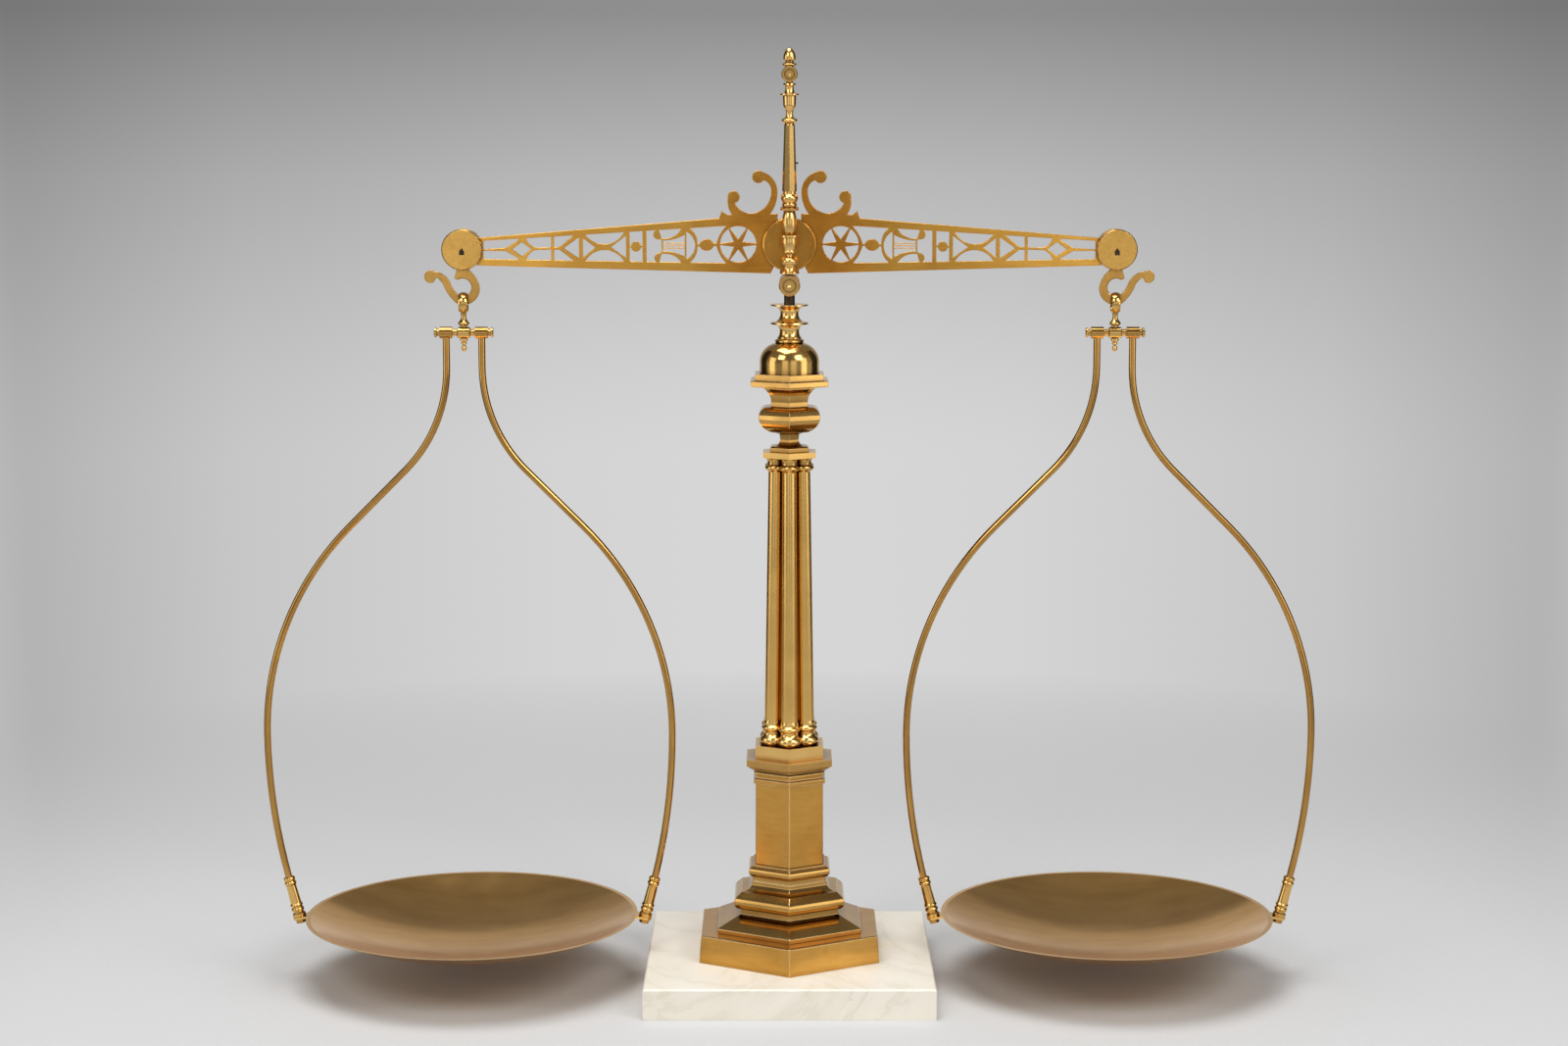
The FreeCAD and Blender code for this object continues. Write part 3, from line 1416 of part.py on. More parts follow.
def build_bar(label, across):
    knob = "Sizes.bar_half_length - Sizes.bar_knob_length"
    half = [
        (size("bar_boss_half", 0.9), size("bar_boss_radius")),
        (size("bar_boss_half"), size("bar_boss_radius", 0.86)),
        (size("bar_boss_half"), size("journal_radius")),
        (knob, size("journal_radius")),
        (f"{knob} + {size('bar_knob_length', 0.2)}", size("bar_knob_radius")),
        (f"{knob} + {size('bar_knob_length', 0.75)}", size("bar_knob_radius")),
        (size("bar_half_length"), size("bar_knob_radius", 0.8)),
        (size("bar_half_length"), "0"),
    ]
    body = turned(label, half + mirrored_back(half), "XZ_Plane", "H_Axis")
    hole = new_sketch(body, "XY_Plane", "shank_bore")
    draw_circle(hole, "0", "0", total("shank_radius", "seat_gap"))
    cut_through(body, hole, size("bar_boss_radius", 2 * OVERRUN_SHARE))
    place(body, across=across, up=BAR_LEVEL)


def leg_path():
    """Centre line of a leg: straight shank, knee, slope, belly and the inward bend at its foot."""
    widest = "(Sizes.foot_rise - Sizes.leg_drop)"
    run = f"({LEG_SPAN} - Sizes.leg_offset)"
    drop = f"(-{widest} - Sizes.leg_shank)"
    bends = f"(({drop} * sin({SLOPE}) - {run} * cos({SLOPE})) / (1 - cos({SLOPE})))"
    knee = f"({bends} * {KNEE_SHARE})"
    belly = f"({bends} * {1 - KNEE_SHARE})"
    foot = f"(Sizes.foot_rise / sin({TILT}))"

    def knee_point(angle):
        return f"Sizes.leg_offset + {knee} * (1 - cos({angle}))", f"-Sizes.leg_shank - {knee} * sin({angle})"

    def belly_point(angle):
        return f"{LEG_SPAN} - {belly} * (1 - cos({angle}))", f"{widest} + {belly} * sin({angle})"

    def foot_point(angle):
        return f"{LEG_SPAN} - {foot} * (1 - cos({angle}))", f"{widest} - {foot} * sin({angle})"

    end_x = f"{SOCKET_TOP_X} - Sizes.socket_insert * sin({TILT})"
    end_z = f"-Sizes.leg_drop - Sizes.socket_insert * cos({TILT})"
    return [
        (size("leg_offset"), "0"),
        (size("leg_offset"), "-Sizes.leg_shank") + knee_point(f"{SLOPE} / 2"),
        knee_point(SLOPE),
        belly_point(SLOPE) + belly_point(f"{SLOPE} / 2"),
        (LEG_SPAN, widest) + foot_point(f"{TILT} / 2"),
        (SOCKET_TOP_X, "-Sizes.leg_drop"),
        (end_x, end_z),
    ]


def build_leg(label, across, turn):
    """Bent wire leg with a sleeve at its top that sits on the bar."""
    body = new_body(label)
    path = new_sketch(body, "XZ_Plane", "path")
    draw(path, leg_path(), closed=False)
    section = new_sketch(body, "XY_Plane", "section")
    draw_circle(section, size("leg_offset"), "0", size("leg_radius"))
    wire = body.newObject("PartDesign::AdditivePipe", f"{label}_wire")
    wire.Profile = section
    wire.Spine = (path, [])
    sleeve = new_sketch(body, "YZ_Plane", "sleeve")
    sleeve.setExpression("AttachmentOffset.Base.z", size("leg_offset"))
    draw_circle(sleeve, "0", "0", size("sleeve_radius"))
    pad(body, sleeve, size("sleeve_half", 2))
    bore = new_sketch(body, "YZ_Plane", "sleeve_bore")
    bore.setExpression("AttachmentOffset.Base.z", size("leg_offset"))
    draw_circle(bore, "0", "0", total("journal_radius", "journal_gap"))
    cut_through(body, bore, size("sleeve_half", 2 * OVERRUN_SHARE))
    place(body, across=across, up=BAR_LEVEL, turn=turn)


def tilted_sketch(body, name):
    """Sketch in the bow's plane with its upright axis along a socket, at the lug's middle."""
    sketch = new_sketch(body, "XZ_Plane", name)
    inward = FreeCAD.Rotation(FreeCAD.Vector(0, 0, -1), 1)
    sketch.AttachmentOffset = FreeCAD.Placement(FreeCAD.Vector(), inward)
    sketch.setExpression("AttachmentOffset.Rotation.Angle", TILT)
    sketch.setExpression("AttachmentOffset.Base.x", total("pan_radius", "lug_reach"))
    sketch.setExpression("AttachmentOffset.Base.y", LUG_LEVEL)
    return sketch


def build_socket(label, across, turn):
    """Turned socket that takes the end of a leg and stands on the pan's lug by a stud."""
    body = new_body(label)
    sketch = tilted_sketch(body, "outline")
    face = size("lug_thickness", 0.5)
    foot = f"-{face} - Sizes.socket_nut_height"
    top = f"{face} + Sizes.socket_length"
    bore = total("leg_radius", "fit_gap")
    seat = f"{top} - Sizes.socket_insert - Sizes.fit_gap"
    stud = [("0", foot), (size("stud_radius"), foot), (size("stud_radius"), face)]
    rows = scaled(SOCKET_SHARES, "socket_radius", "socket_length", face)
    draw(sketch, stud + rows + [(bore, top), (bore, seat), ("0", seat)])
    revolve(body, sketch)
    place(body, across=across, up=BAR_LEVEL, turn=turn)


def build_socket_nuts(label, across):
    """The two nuts under one pan's lugs, kept together as one group."""
    nuts = []
    for index, turn in enumerate((0.0, 180.0)):
        body = doc.addObject("PartDesign::Body", f"{label}_{index}")
        sketch = tilted_sketch(body, "outline")
        top = size("lug_thickness", -0.5)
        foot = f"{top} - Sizes.socket_nut_height"
        inner = total("stud_radius", "fit_gap")
        outer = size("socket_nut_radius")
        draw(sketch, [(inner, foot), (outer, foot), (outer, top), (inner, top)])
        revolve(body, sketch)
        place(body, across=across, up=BAR_LEVEL, turn=turn)
        nuts.append(body)
    group = doc.addObject("Part::Compound", label)
    group.Links = nuts
    keep(group, label)


def dish_height(radius):
    """Height of a round dish of this radius half way out from its middle."""
    return f"{DISH_RADIUS} - Sizes.pan_depth - sqrt({radius} ^ 2 - Sizes.pan_radius ^ 2 / 4)"


def build_pan(label, across):
    """Shallow spun dish with a brazed lug at each end of its bow."""
    body = new_body(label)
    sketch = new_sketch(body, "XZ_Plane", "dish")
    middle = size("pan_radius", 0.5)
    rim = f"sqrt(({DISH_RADIUS} - Sizes.pan_wall) ^ 2 - ({DISH_RADIUS} - Sizes.pan_depth) ^ 2)"
    draw(sketch, [
        ("0", "-Sizes.pan_depth", middle, dish_height(DISH_RADIUS)),
        (size("pan_radius"), "0"),
        (rim, "0", middle, dish_height(f"({DISH_RADIUS} - Sizes.pan_wall)")),
        ("0", "Sizes.pan_wall - Sizes.pan_depth"),
    ])
    revolve(body, sketch)
    lug = new_sketch(body, "XY_Plane", "lug")
    outward = FreeCAD.Rotation(FreeCAD.Vector(0, 1, 0), 1)
    lug.AttachmentOffset = FreeCAD.Placement(FreeCAD.Vector(), outward)
    lug.setExpression("AttachmentOffset.Rotation.Angle", TILT)
    lug.setExpression("AttachmentOffset.Base.x", total("pan_radius", "lug_reach"))
    lug.setExpression("AttachmentOffset.Base.z", "-Sizes.lug_drop")
    root = "-Sizes.lug_reach - Sizes.lug_overlap"
    half = size("lug_half_width")
    ring = size("lug_ring")
    draw(lug, [(root, flipped(half)), ("0", flipped(ring), ring, "0"), ("0", ring), (root, half)])
    draw_circle(lug, "0", "0", total("stud_radius", "lug_hole_gap"))
    plate = pad(body, lug, size("lug_thickness"))
    doc.recompute()
    polar_copies(body, plate, 2)
    place(body, across=across, up=PAN_LEVEL)


def build_stirrup(name, side, outward):
    """Everything that hangs on one end knife."""
    across = size("arm_length", float(side))
    build_hook(f"{name}_hook", across, outward)
    build_eye(f"{name}_swivel_eye", across)
    build_drop(f"{name}_drop_finial", across)
    build_bar(f"{name}_bow_bar", across)
    for where, turn in (("outer", outward), ("inner", 180.0 - outward)):
        build_leg(f"{name}_{where}_leg", across, turn)
        build_socket(f"{name}_{where}_socket", across, turn)
    build_socket_nuts(f"{name}_socket_nuts", across)
    build_pan(f"{name}_pan", across)


def check_and_export():
    doc.recompute()
    for item in doc.Objects:
        if {"Invalid", "Error"} & set(item.State):
            raise RuntimeError(f"{item.Name} failed: {item.State}")
    os.makedirs("parts", exist_ok=True)
    for node in nodes:
        shape = node.Shape
        if shape.isNull() or not shape.isValid() or not shape.Solids:
            raise RuntimeError(f"{node.Label} has no valid solid")
    for node in nodes:
        node.Shape.exportStep(os.path.join("parts", f"{node.Label}.step"))


def main():
    fill_sheet()
    build_slab()
    build_tie_rod()
    build_hexagonal_pieces()
    build_column()
    build_neck()
    build_yoke()
    build_beam_plate()
    build_beam_centre()
    build_beam_ends()
    for name, side, outward in SIDES:
        build_stirrup(name, side, outward)
    check_and_export()
    print(f"{len(nodes)} sub-parts")


main()
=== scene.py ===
from math import cos, pi, radians, sin

import bpy
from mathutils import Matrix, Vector

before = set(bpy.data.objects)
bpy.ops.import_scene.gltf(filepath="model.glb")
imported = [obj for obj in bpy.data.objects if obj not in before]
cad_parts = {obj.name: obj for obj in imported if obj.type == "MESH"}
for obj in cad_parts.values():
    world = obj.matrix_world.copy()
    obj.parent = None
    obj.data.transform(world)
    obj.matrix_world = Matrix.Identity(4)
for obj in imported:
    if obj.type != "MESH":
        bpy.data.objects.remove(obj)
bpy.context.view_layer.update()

# Antique brass counter balance on a marble slab: finishes for the solids, studio light and camera.

# Places on the part, in metres: height of the centre knife and of the end discs, and the arm's length.
PIVOT_Z = 0.5292
END_Z = 0.5257
ARM = 0.2286

# Depths of fine relief, in metres, and the spacing of lathe circles on the pans and the discs.
STROKE_DEPTH = 0.0001
LATHE_DEPTH = 0.00003
SPUN_DEPTH = 0.00004
DENT_DEPTH = 0.0004
CRYSTAL_DEPTH = 0.0002
PAN_SPACING = 0.0016
MIDDLE_SPACING = 0.0007
END_SPACING = 0.0006

# Ramps run from zero to one, so distances from a centre are scaled by this before a ramp.
RADIUS_SCALE = 8.0

# Pale colour painted on sharp edges: a painted highlight, which also stands for bare metal that hands and
# cloths have rubbed.
HIGHLIGHT_AND_RUB_COLOUR = (1.0, 0.78, 0.42)

# The photograph's width and focal length in pixels, and where its camera stands.
PHOTO_WIDTH = 1600
FOCAL_PIXELS = 3040
SENSOR_WIDTH = 36.0
CAMERA_PLACE = (-0.0038, -2.0905, 0.6263)
CAMERA_PITCH = 82.0
CAMERA_REACH = 50

# Soft lamps: name, place, aim, width, height and power.
LAMPS = (
    ("front_left", (-0.95, -3.2, 0.7), (0, 0, 0.4), 1.3, 1.6, 5.4),
    ("front_right", (0.95, -3.2, 0.7), (0, 0, 0.4), 1.3, 1.6, 5.2),
    ("key", (-1.1, -1.6, 1.75), (0, 0, 0.35), 0.9, 0.9, 13.5),
    ("fill", (1.3, -1.5, 1.7), (0, 0, 0.35), 1.0, 1.0, 20.0),
    ("right", (1.8, -1.1, 0.75), (0, 0, 0.35), 0.9, 1.3, 5.8),
    ("left", (-1.9, -0.7, 0.75), (0, 0, 0.35), 0.9, 1.3, 5.0),
    ("top", (-0.2, -0.1, 2.1), (0, 0, 0.1), 1.3, 1.1, 27.0),
)
WORLD_COLOUR = (0.2, 0.2, 0.205, 1)


class Finish:
    """A node material under construction: helpers add nodes and link them."""

    def __init__(self, name):
        self.material = bpy.data.materials.new(name)
        self.material.use_nodes = True
        self.nodes = self.material.node_tree.nodes
        self.links = self.material.node_tree.links
        self.shader = self.nodes["Principled BSDF"]
        self.place = self.nodes.new("ShaderNodeTexCoord").outputs["Object"]

    def link(self, source, target):
        self.links.new(source, target)

    def moved(self, offset=(0, 0, 0), scale=(1, 1, 1), turn=(0, 0, 0)):
        """Object coordinates taken from an offset origin, stretched along each axis."""
        mapping = self.nodes.new("ShaderNodeMapping")
        mapping.vector_type = "TEXTURE"
        self.link(self.place, mapping.inputs["Vector"])
        mapping.inputs["Location"].default_value = offset
        mapping.inputs["Rotation"].default_value = turn
        mapping.inputs["Scale"].default_value = scale
        return mapping.outputs["Vector"]

    def noise(self, scale, detail=4.0, roughness=0.55, vector=None, distortion=0.0):
        node = self.nodes.new("ShaderNodeTexNoise")
        node.inputs["Scale"].default_value = scale
        node.inputs["Detail"].default_value = detail
        node.inputs["Roughness"].default_value = roughness
        node.inputs["Distortion"].default_value = distortion
        self.link(vector or self.place, node.inputs["Vector"])
        return node.outputs["Fac"]

    def ramp(self, source, stops):
        """Colour ramp; a stop is a place and a grey or a colour."""
        node = self.nodes.new("ShaderNodeValToRGB")
        elements = node.color_ramp.elements
        while len(elements) < len(stops):
            elements.new(0.5)
        for element, (place, colour) in zip(elements, stops):
            element.position = place
            element.color = (*colour, 1) if isinstance(colour, tuple) else (colour, colour, colour, 1)
        self.link(source, node.inputs["Fac"])
        return node.outputs["Color"]

    def mix(self, first, second, amount=1.0, kind="MULTIPLY"):
        node = self.nodes.new("ShaderNodeMix")
        node.data_type = "RGBA"
        node.blend_type = kind
        if isinstance(amount, float):
            node.inputs[0].default_value = amount
        else:
            self.link(amount, node.inputs[0])
        for index, source in ((6, first), (7, second)):
            if isinstance(source, tuple):
                node.inputs[index].default_value = (*source, 1)
            else:
                self.link(source, node.inputs[index])
        return node.outputs[2]

    def maths(self, kind, first, second=0.0):
        node = self.nodes.new("ShaderNodeMath")
        node.operation = kind
        for index, source in enumerate((first, second)):
            if isinstance(source, float):
                node.inputs[index].default_value = source
            else:
                self.link(source, node.inputs[index])
        return node.outputs[0]

    def crevice(self, reach):
        """One on open faces and lower where surfaces meet."""
        node = self.nodes.new("ShaderNodeAmbientOcclusion")
        node.samples = 8
        node.inputs["Distance"].default_value = reach
        return node.outputs["AO"]

    def rounded(self, radius):
        """Normal that rolls over sharp edges, so they catch the light."""
        node = self.nodes.new("ShaderNodeBevel")
        node.samples = 4
        node.inputs["Radius"].default_value = radius
        return node.outputs["Normal"]

    def edge_highlight_and_rub(self, radius, amount):
        """The amount along sharp edges and zero on flat faces."""
        node = self.nodes.new("ShaderNodeVectorMath")
        node.operation = "DOT_PRODUCT"
        self.link(self.rounded(radius), node.inputs[0])
        self.link(self.nodes.new("ShaderNodeNewGeometry").outputs["Normal"], node.inputs[1])
        return self.ramp(node.outputs["Value"], ((0.9, amount), (0.985, 0.0)))

    def bump(self, height, strength, distance, normal=None):
        node = self.nodes.new("ShaderNodeBump")
        node.inputs["Strength"].default_value = strength
        node.inputs["Distance"].default_value = distance
        self.link(height, node.inputs["Height"])
        if normal is not None:
            self.link(normal, node.inputs["Normal"])
        return node.outputs["Normal"]

    def radius(self, centre, axis):
        """Distance from a line through the centre along the axis."""
        split = self.nodes.new("ShaderNodeSeparateXYZ")
        self.link(self.moved(offset=centre), split.inputs[0])
        ways = [split.outputs[name] for name in "XYZ" if name != axis]
        squares = [self.maths("MULTIPLY", way, way) for way in ways]
        return self.maths("SQRT", self.maths("ADD", *squares))

    def rings(self, centre, spacing, axis):
        """Fine circles round a point, as left by a lathe on a flat face."""
        turns = self.maths("MULTIPLY", self.radius(centre, axis), 2 * pi / spacing)
        return self.maths("SINE", turns)

    def finish(self, colour, roughness, normal=None, metal=1.0):
        self.link(colour, self.shader.inputs["Base Color"])
        self.link(roughness, self.shader.inputs["Roughness"])
        if normal is not None:
            self.link(normal, self.shader.inputs["Normal"])
        self.shader.inputs["Metallic"].default_value = metal
        return self.material


def polished_brass(name, light, deep, rough, strokes, relief, patina_and_shade_reach=0.008, edge=0.0, highlight_and_rub_share=0.0):
    """Worn polished brass: cloudy tone, smudges, brown painted where surfaces meet as patina and shade, pale
    painted edges as highlight and rubbed metal, and fine strokes.

    Relief is the strength of the strokes, grime the reach of the brown painted where surfaces meet,
    which stands for patina and for painted shade, edge the roll of sharp edges and wear the share of
    pale colour painted on them, a painted highlight that also stands for rubbed bare metal.
    """
    finish = Finish(name)
    tone = finish.ramp(finish.noise(20.0, 4.0, 0.55), ((0.34, deep), (0.64, light)))
    specks = finish.ramp(finish.noise(350.0, 3.0), ((0.26, (0.5, 0.36, 0.2)), (0.32, 1.0)))
    colour = finish.mix(tone, specks, 0.12)
    # Painted shade and patina: brown where surfaces meet, from ambient occlusion.
    if patina_and_shade_reach:
        brown = finish.ramp(finish.crevice(patina_and_shade_reach), ((0.25, (0.2, 0.145, 0.09)), (0.88, 1.0)))
        colour = finish.mix(colour, brown)
    # Painted highlight on sharp edges, which also stands for rubbed bare metal.
    if highlight_and_rub_share:
        colour = finish.mix(colour, HIGHLIGHT_AND_RUB_COLOUR, finish.edge_highlight_and_rub(edge, highlight_and_rub_share), "MIX")
    smudges = finish.noise(55.0, 4.0, 0.55)
    roughness = finish.ramp(smudges, ((0.3, rough[0]), (0.72, rough[1])))
    lines = finish.noise(520.0, 3.0, vector=finish.moved(scale=strokes))
    normal = finish.bump(lines, relief, STROKE_DEPTH, finish.rounded(edge) if edge else None)
    return finish.finish(colour, roughness, normal)


def satin_brass(name, light, deep, rough, grain, relief, edge, discs=(), highlight_and_rub_share=0.0, middle=None):
    """Satin brass with fine strokes one way, faint stains, brown painted where surfaces meet as patina and
    shade, and lathe circles on its round faces.

    Each disc is a centre and the spacing of its circles, and round the middle the colour is painted darker
    and browner, as shade.
    """
    finish = Finish(name)
    tone = finish.ramp(finish.noise(14.0, 5.0, 0.55), ((0.32, deep), (0.64, light)))
    strokes = finish.noise(420.0, 5.0, 0.6, vector=finish.moved(scale=grain))
    streaks = finish.ramp(strokes, ((0.3, (0.9, 0.87, 0.8)), (0.6, 1.0)))
    colour = finish.mix(tone, streaks)
    stains = finish.ramp(finish.noise(75.0, 6.0, 0.66), ((0.24, (0.62, 0.46, 0.28)), (0.42, 1.0)))
    colour = finish.mix(colour, stains, 0.42)
    pits = finish.ramp(finish.noise(820.0, 2.0), ((0.25, (0.4, 0.29, 0.16)), (0.31, 1.0)))
    colour = finish.mix(colour, pits, 0.1)
    # Painted shade and patina: brown where surfaces meet, from ambient occlusion.
    patina_and_shade = finish.ramp(finish.crevice(0.008), ((0.2, (0.22, 0.16, 0.1)), (0.78, 1.0)))
    colour = finish.mix(colour, patina_and_shade)
    # Painted shade: darker and browner round the middle of the beam.
    if middle:
        spread = finish.maths("MULTIPLY", finish.radius(middle, "Y"), RADIUS_SCALE)
        colour = finish.mix(colour, finish.ramp(spread, ((0.3, (0.92, 0.75, 0.58)), (0.6, 1.0))))
    # Painted highlight on sharp edges, which also stands for rubbed bare metal.
    if highlight_and_rub_share:
        colour = finish.mix(colour, HIGHLIGHT_AND_RUB_COLOUR, finish.edge_highlight_and_rub(edge, highlight_and_rub_share), "MIX")
    roughness = finish.ramp(finish.noise(48.0, 8.0, 0.65), ((0.3, rough[0]), (0.74, rough[1])))
    normal = finish.bump(strokes, relief, STROKE_DEPTH, finish.rounded(edge))
    for centre, spacing in discs:
        normal = finish.bump(finish.rings(centre, spacing, "Y"), 0.06, LATHE_DEPTH, normal)
    return finish.finish(colour, roughness, normal)


def pan_brass(name, centre):
    """Brown patina on a spun dish, with wiped streaks and a rim painted lighter, a painted highlight that
    also stands for a rim rubbed bright.
    """
    finish = Finish(name)
    cloud = finish.noise(12.0, 8.0, 0.6, vector=finish.moved(offset=centre))
    tone = finish.ramp(cloud, ((0.3, (0.74, 0.41, 0.125)), (0.7, (0.86, 0.5, 0.165))))
    wiped = finish.noise(60.0, 6.0, 0.6, vector=finish.moved(offset=centre, scale=(5.0, 0.8, 1.0)))
    colour = finish.mix(tone, finish.ramp(wiped, ((0.34, (0.88, 0.84, 0.77)), (0.62, 1.0))))
    spots = finish.ramp(finish.noise(380.0, 3.0), ((0.26, (0.55, 0.44, 0.34)), (0.32, 1.0)))
    colour = finish.mix(colour, spots, 0.4)
    # Painted highlight: a lighter band round the rim, which also stands for rubbed metal.
    spread = finish.maths("MULTIPLY", finish.radius(centre, "Z"), RADIUS_SCALE)
    rim_painted_highlight = finish.ramp(spread, ((0.938, 0.0), (0.946, 1.0)))
    colour = finish.mix(colour, (0.8, 0.5, 0.16), rim_painted_highlight, "MIX")
    roughness = finish.ramp(finish.noise(34.0, 8.0, 0.6), ((0.3, 0.13), (0.7, 0.21)))
    normal = finish.bump(finish.rings(centre, PAN_SPACING, "Z"), 0.08, SPUN_DEPTH)
    normal = finish.bump(finish.noise(60.0, 3.0), 0.05, DENT_DEPTH, normal)
    return finish.finish(colour, roughness, normal)


def marble(name):
    """Honed cream-white marble with faint grey veins and a fine crystal grain."""
    finish = Finish(name)
    cloud = finish.noise(10.0, 8.0, 0.6, distortion=0.6)
    tone = finish.ramp(cloud, ((0.3, (0.85, 0.79, 0.675)), (0.66, (0.88, 0.83, 0.73))))
    turned = finish.moved(scale=(0.7, 1.6, 1.0), turn=(0.4, 0.8, 0.6))
    bend = finish.noise(7.0, 10.0, 0.64, vector=turned, distortion=1.2)
    vein = finish.maths("ABSOLUTE", finish.maths("SUBTRACT", bend, 0.5))
    lines = finish.ramp(vein, ((0.0, (0.9, 0.89, 0.865)), (0.025, (0.97, 0.965, 0.955)), (0.07, 1.0)))
    colour = finish.mix(tone, lines)
    stain = finish.ramp(finish.noise(28.0, 5.0), ((0.62, 1.0), (0.78, (0.96, 0.92, 0.84))))
    colour = finish.mix(colour, stain)
    specks = finish.ramp(finish.noise(240.0, 2.0), ((0.2, (0.62, 0.55, 0.46)), (0.27, 1.0)))
    colour = finish.mix(colour, specks, 0.7)
    roughness = finish.ramp(finish.noise(70.0, 6.0), ((0.3, 0.34), (0.7, 0.5)))
    normal = finish.bump(finish.noise(520.0, 3.0), 0.08, CRYSTAL_DEPTH)
    finish.shader.inputs["Subsurface Weight"].default_value = 0.12
    finish.shader.inputs["Subsurface Radius"].default_value = (0.006, 0.005, 0.004)
    finish.shader.inputs["Subsurface Scale"].default_value = 0.5
    return finish.finish(colour, roughness, normal, metal=0.0)


def dark_steel(name):
    """Darkened steel with a trace of rust, for the stem, knives, bearings and tie rod."""
    finish = Finish(name)
    tone = finish.ramp(finish.noise(160.0, 6.0), ((0.3, (0.035, 0.027, 0.02)), (0.7, (0.1, 0.078, 0.055))))
    rust = finish.ramp(finish.noise(90.0, 4.0), ((0.55, 1.0), (0.72, (0.72, 0.5, 0.34))))
    roughness = finish.ramp(finish.noise(220.0, 5.0), ((0.3, 0.36), (0.7, 0.55)))
    normal = finish.bump(finish.noise(900.0, 3.0), 0.15, STROKE_DEPTH)
    return finish.finish(finish.mix(tone, rust), roughness, normal)


def dress_solids():
    """Give every solid its finish, by the name of its node."""
    round_strokes = (1.0, 1.0, 0.06)
    upright_strokes = (1.0, 1.0, 14.0)
    no_strokes = (1.0, 1.0, 1.0)
    middle = (0, 0, PIVOT_Z)
    middle_disc = [(middle, MIDDLE_SPACING)]
    end_discs = [((side * ARM, 0, END_Z), END_SPACING) for side in (-1, 1)]
    turned = polished_brass(
        "brass_turned", (0.77, 0.48, 0.15), (0.61, 0.365, 0.105), (0.12, 0.22), round_strokes, relief=0.008
    )
    # Painted light: the column shafts' brass is paler than the turned brass, to look more brightly lit.
    shaft = polished_brass(
        "brass_shaft_painted_light", (0.9, 0.565, 0.175), (0.78, 0.475, 0.14), (0.15, 0.26), upright_strokes,
        relief=0.01, patina_and_shade_reach=0.002,
    )
    # Painted light: paler brass, so the crossheads, spindles and finials look more brightly lit.
    yoke = polished_brass(
        "brass_yoke_painted_light", (0.88, 0.56, 0.19), (0.76, 0.465, 0.15), (0.19, 0.24), upright_strokes,
        relief=0.002, patina_and_shade_reach=0.005,
    )
    cast = polished_brass(
        "brass_cast", (0.61, 0.36, 0.105), (0.48, 0.27, 0.075), (0.1, 0.19), round_strokes,
        relief=0.006, patina_and_shade_reach=0.012, edge=0.0007, highlight_and_rub_share=0.7,
    )
    wire = polished_brass(
        "brass_wire", (0.56, 0.31, 0.085), (0.42, 0.225, 0.058), (0.09, 0.18), upright_strokes,
        relief=0.003, patina_and_shade_reach=0.0,
    )
    plate = satin_brass(
        "brass_plate", (0.81, 0.44, 0.085), (0.66, 0.34, 0.058), (0.18, 0.28), (9.0, 1.0, 0.5),
        relief=0.05, edge=0.0008, middle=middle,
    )
    faced = satin_brass(
        "brass_faced", (0.79, 0.465, 0.12), (0.63, 0.355, 0.085), (0.22, 0.34), no_strokes,
        relief=0.008, edge=0.0005, discs=end_discs,
    )
    # Painted shade: the centre boss's brass is darker than the end discs' brass.
    boss = satin_brass(
        "brass_boss_painted_shade", (0.69, 0.34, 0.066), (0.53, 0.25, 0.045), (0.18, 0.28), no_strokes,
        relief=0.008, edge=0.0005, discs=middle_disc,
    )
    upright = satin_brass(
        "brass_upright", (0.66, 0.36, 0.085), (0.56, 0.295, 0.065), (0.13, 0.22), (6.0, 6.0, 1.0),
        relief=0.04, edge=0.0012, highlight_and_rub_share=0.9,
    )
    # Painted shade: the hooks' brass is darker, as they hang recessed behind the end discs.
    hook = satin_brass(
        "brass_hook_painted_shade", (0.6, 0.34, 0.085), (0.46, 0.25, 0.06), (0.18, 0.28), (1.0, 1.0, 3.0),
        relief=0.02, edge=0.001,
    )
    finishes = {
        "marble_slab": marble("marble_white"),
        "beam_plate": plate,
        "tongue": plate,
        "pedestal": upright,
        "hex_plinth": upright,
        "column_shaft": shaft,
        "column_foot": yoke,
    }
    steel = dark_steel("steel_dark")
    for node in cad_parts:
        if node.startswith(("tie_rod", "yoke_stem", "index_pin")) or node.endswith(("knife", "bearing")):
            finishes[node] = steel
        elif node.endswith("centre_boss") or node == "centre_rivets":
            finishes[node] = boss
        elif node.endswith(("cheek", "end_rivets")):
            finishes[node] = faced
        elif node.endswith("_hook"):
            finishes[node] = hook
        elif node.endswith(("_leg", "socket_nuts")):
            finishes[node] = wire
        elif node.endswith(("_spindle", "_crosshead", "_finial")) or node == "neck_spool":
            finishes[node] = yoke
        elif node in ("stepped_base", "pedestal_cornice", "hex_vase", "hex_collar"):
            finishes[node] = cast
    for side, place in (("left", -ARM), ("right", ARM)):
        finishes[f"{side}_pan"] = pan_brass(f"brass_{side}_pan", (place, 0, 0))
    for node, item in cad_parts.items():
        for slot in item.material_slots:
            slot.material = finishes.get(node, turned)


def stage_sheet(name, points, faces, material):
    """A smooth sheet of the studio, which is no piece of the part."""
    mesh = bpy.data.meshes.new(name)
    mesh.from_pydata(points, [], faces)
    mesh.polygons.foreach_set("use_smooth", [True] * len(faces))
    mesh.materials.append(material)
    sheet = bpy.data.objects.new(name, mesh)
    bpy.context.collection.objects.link(sheet)
    return sheet


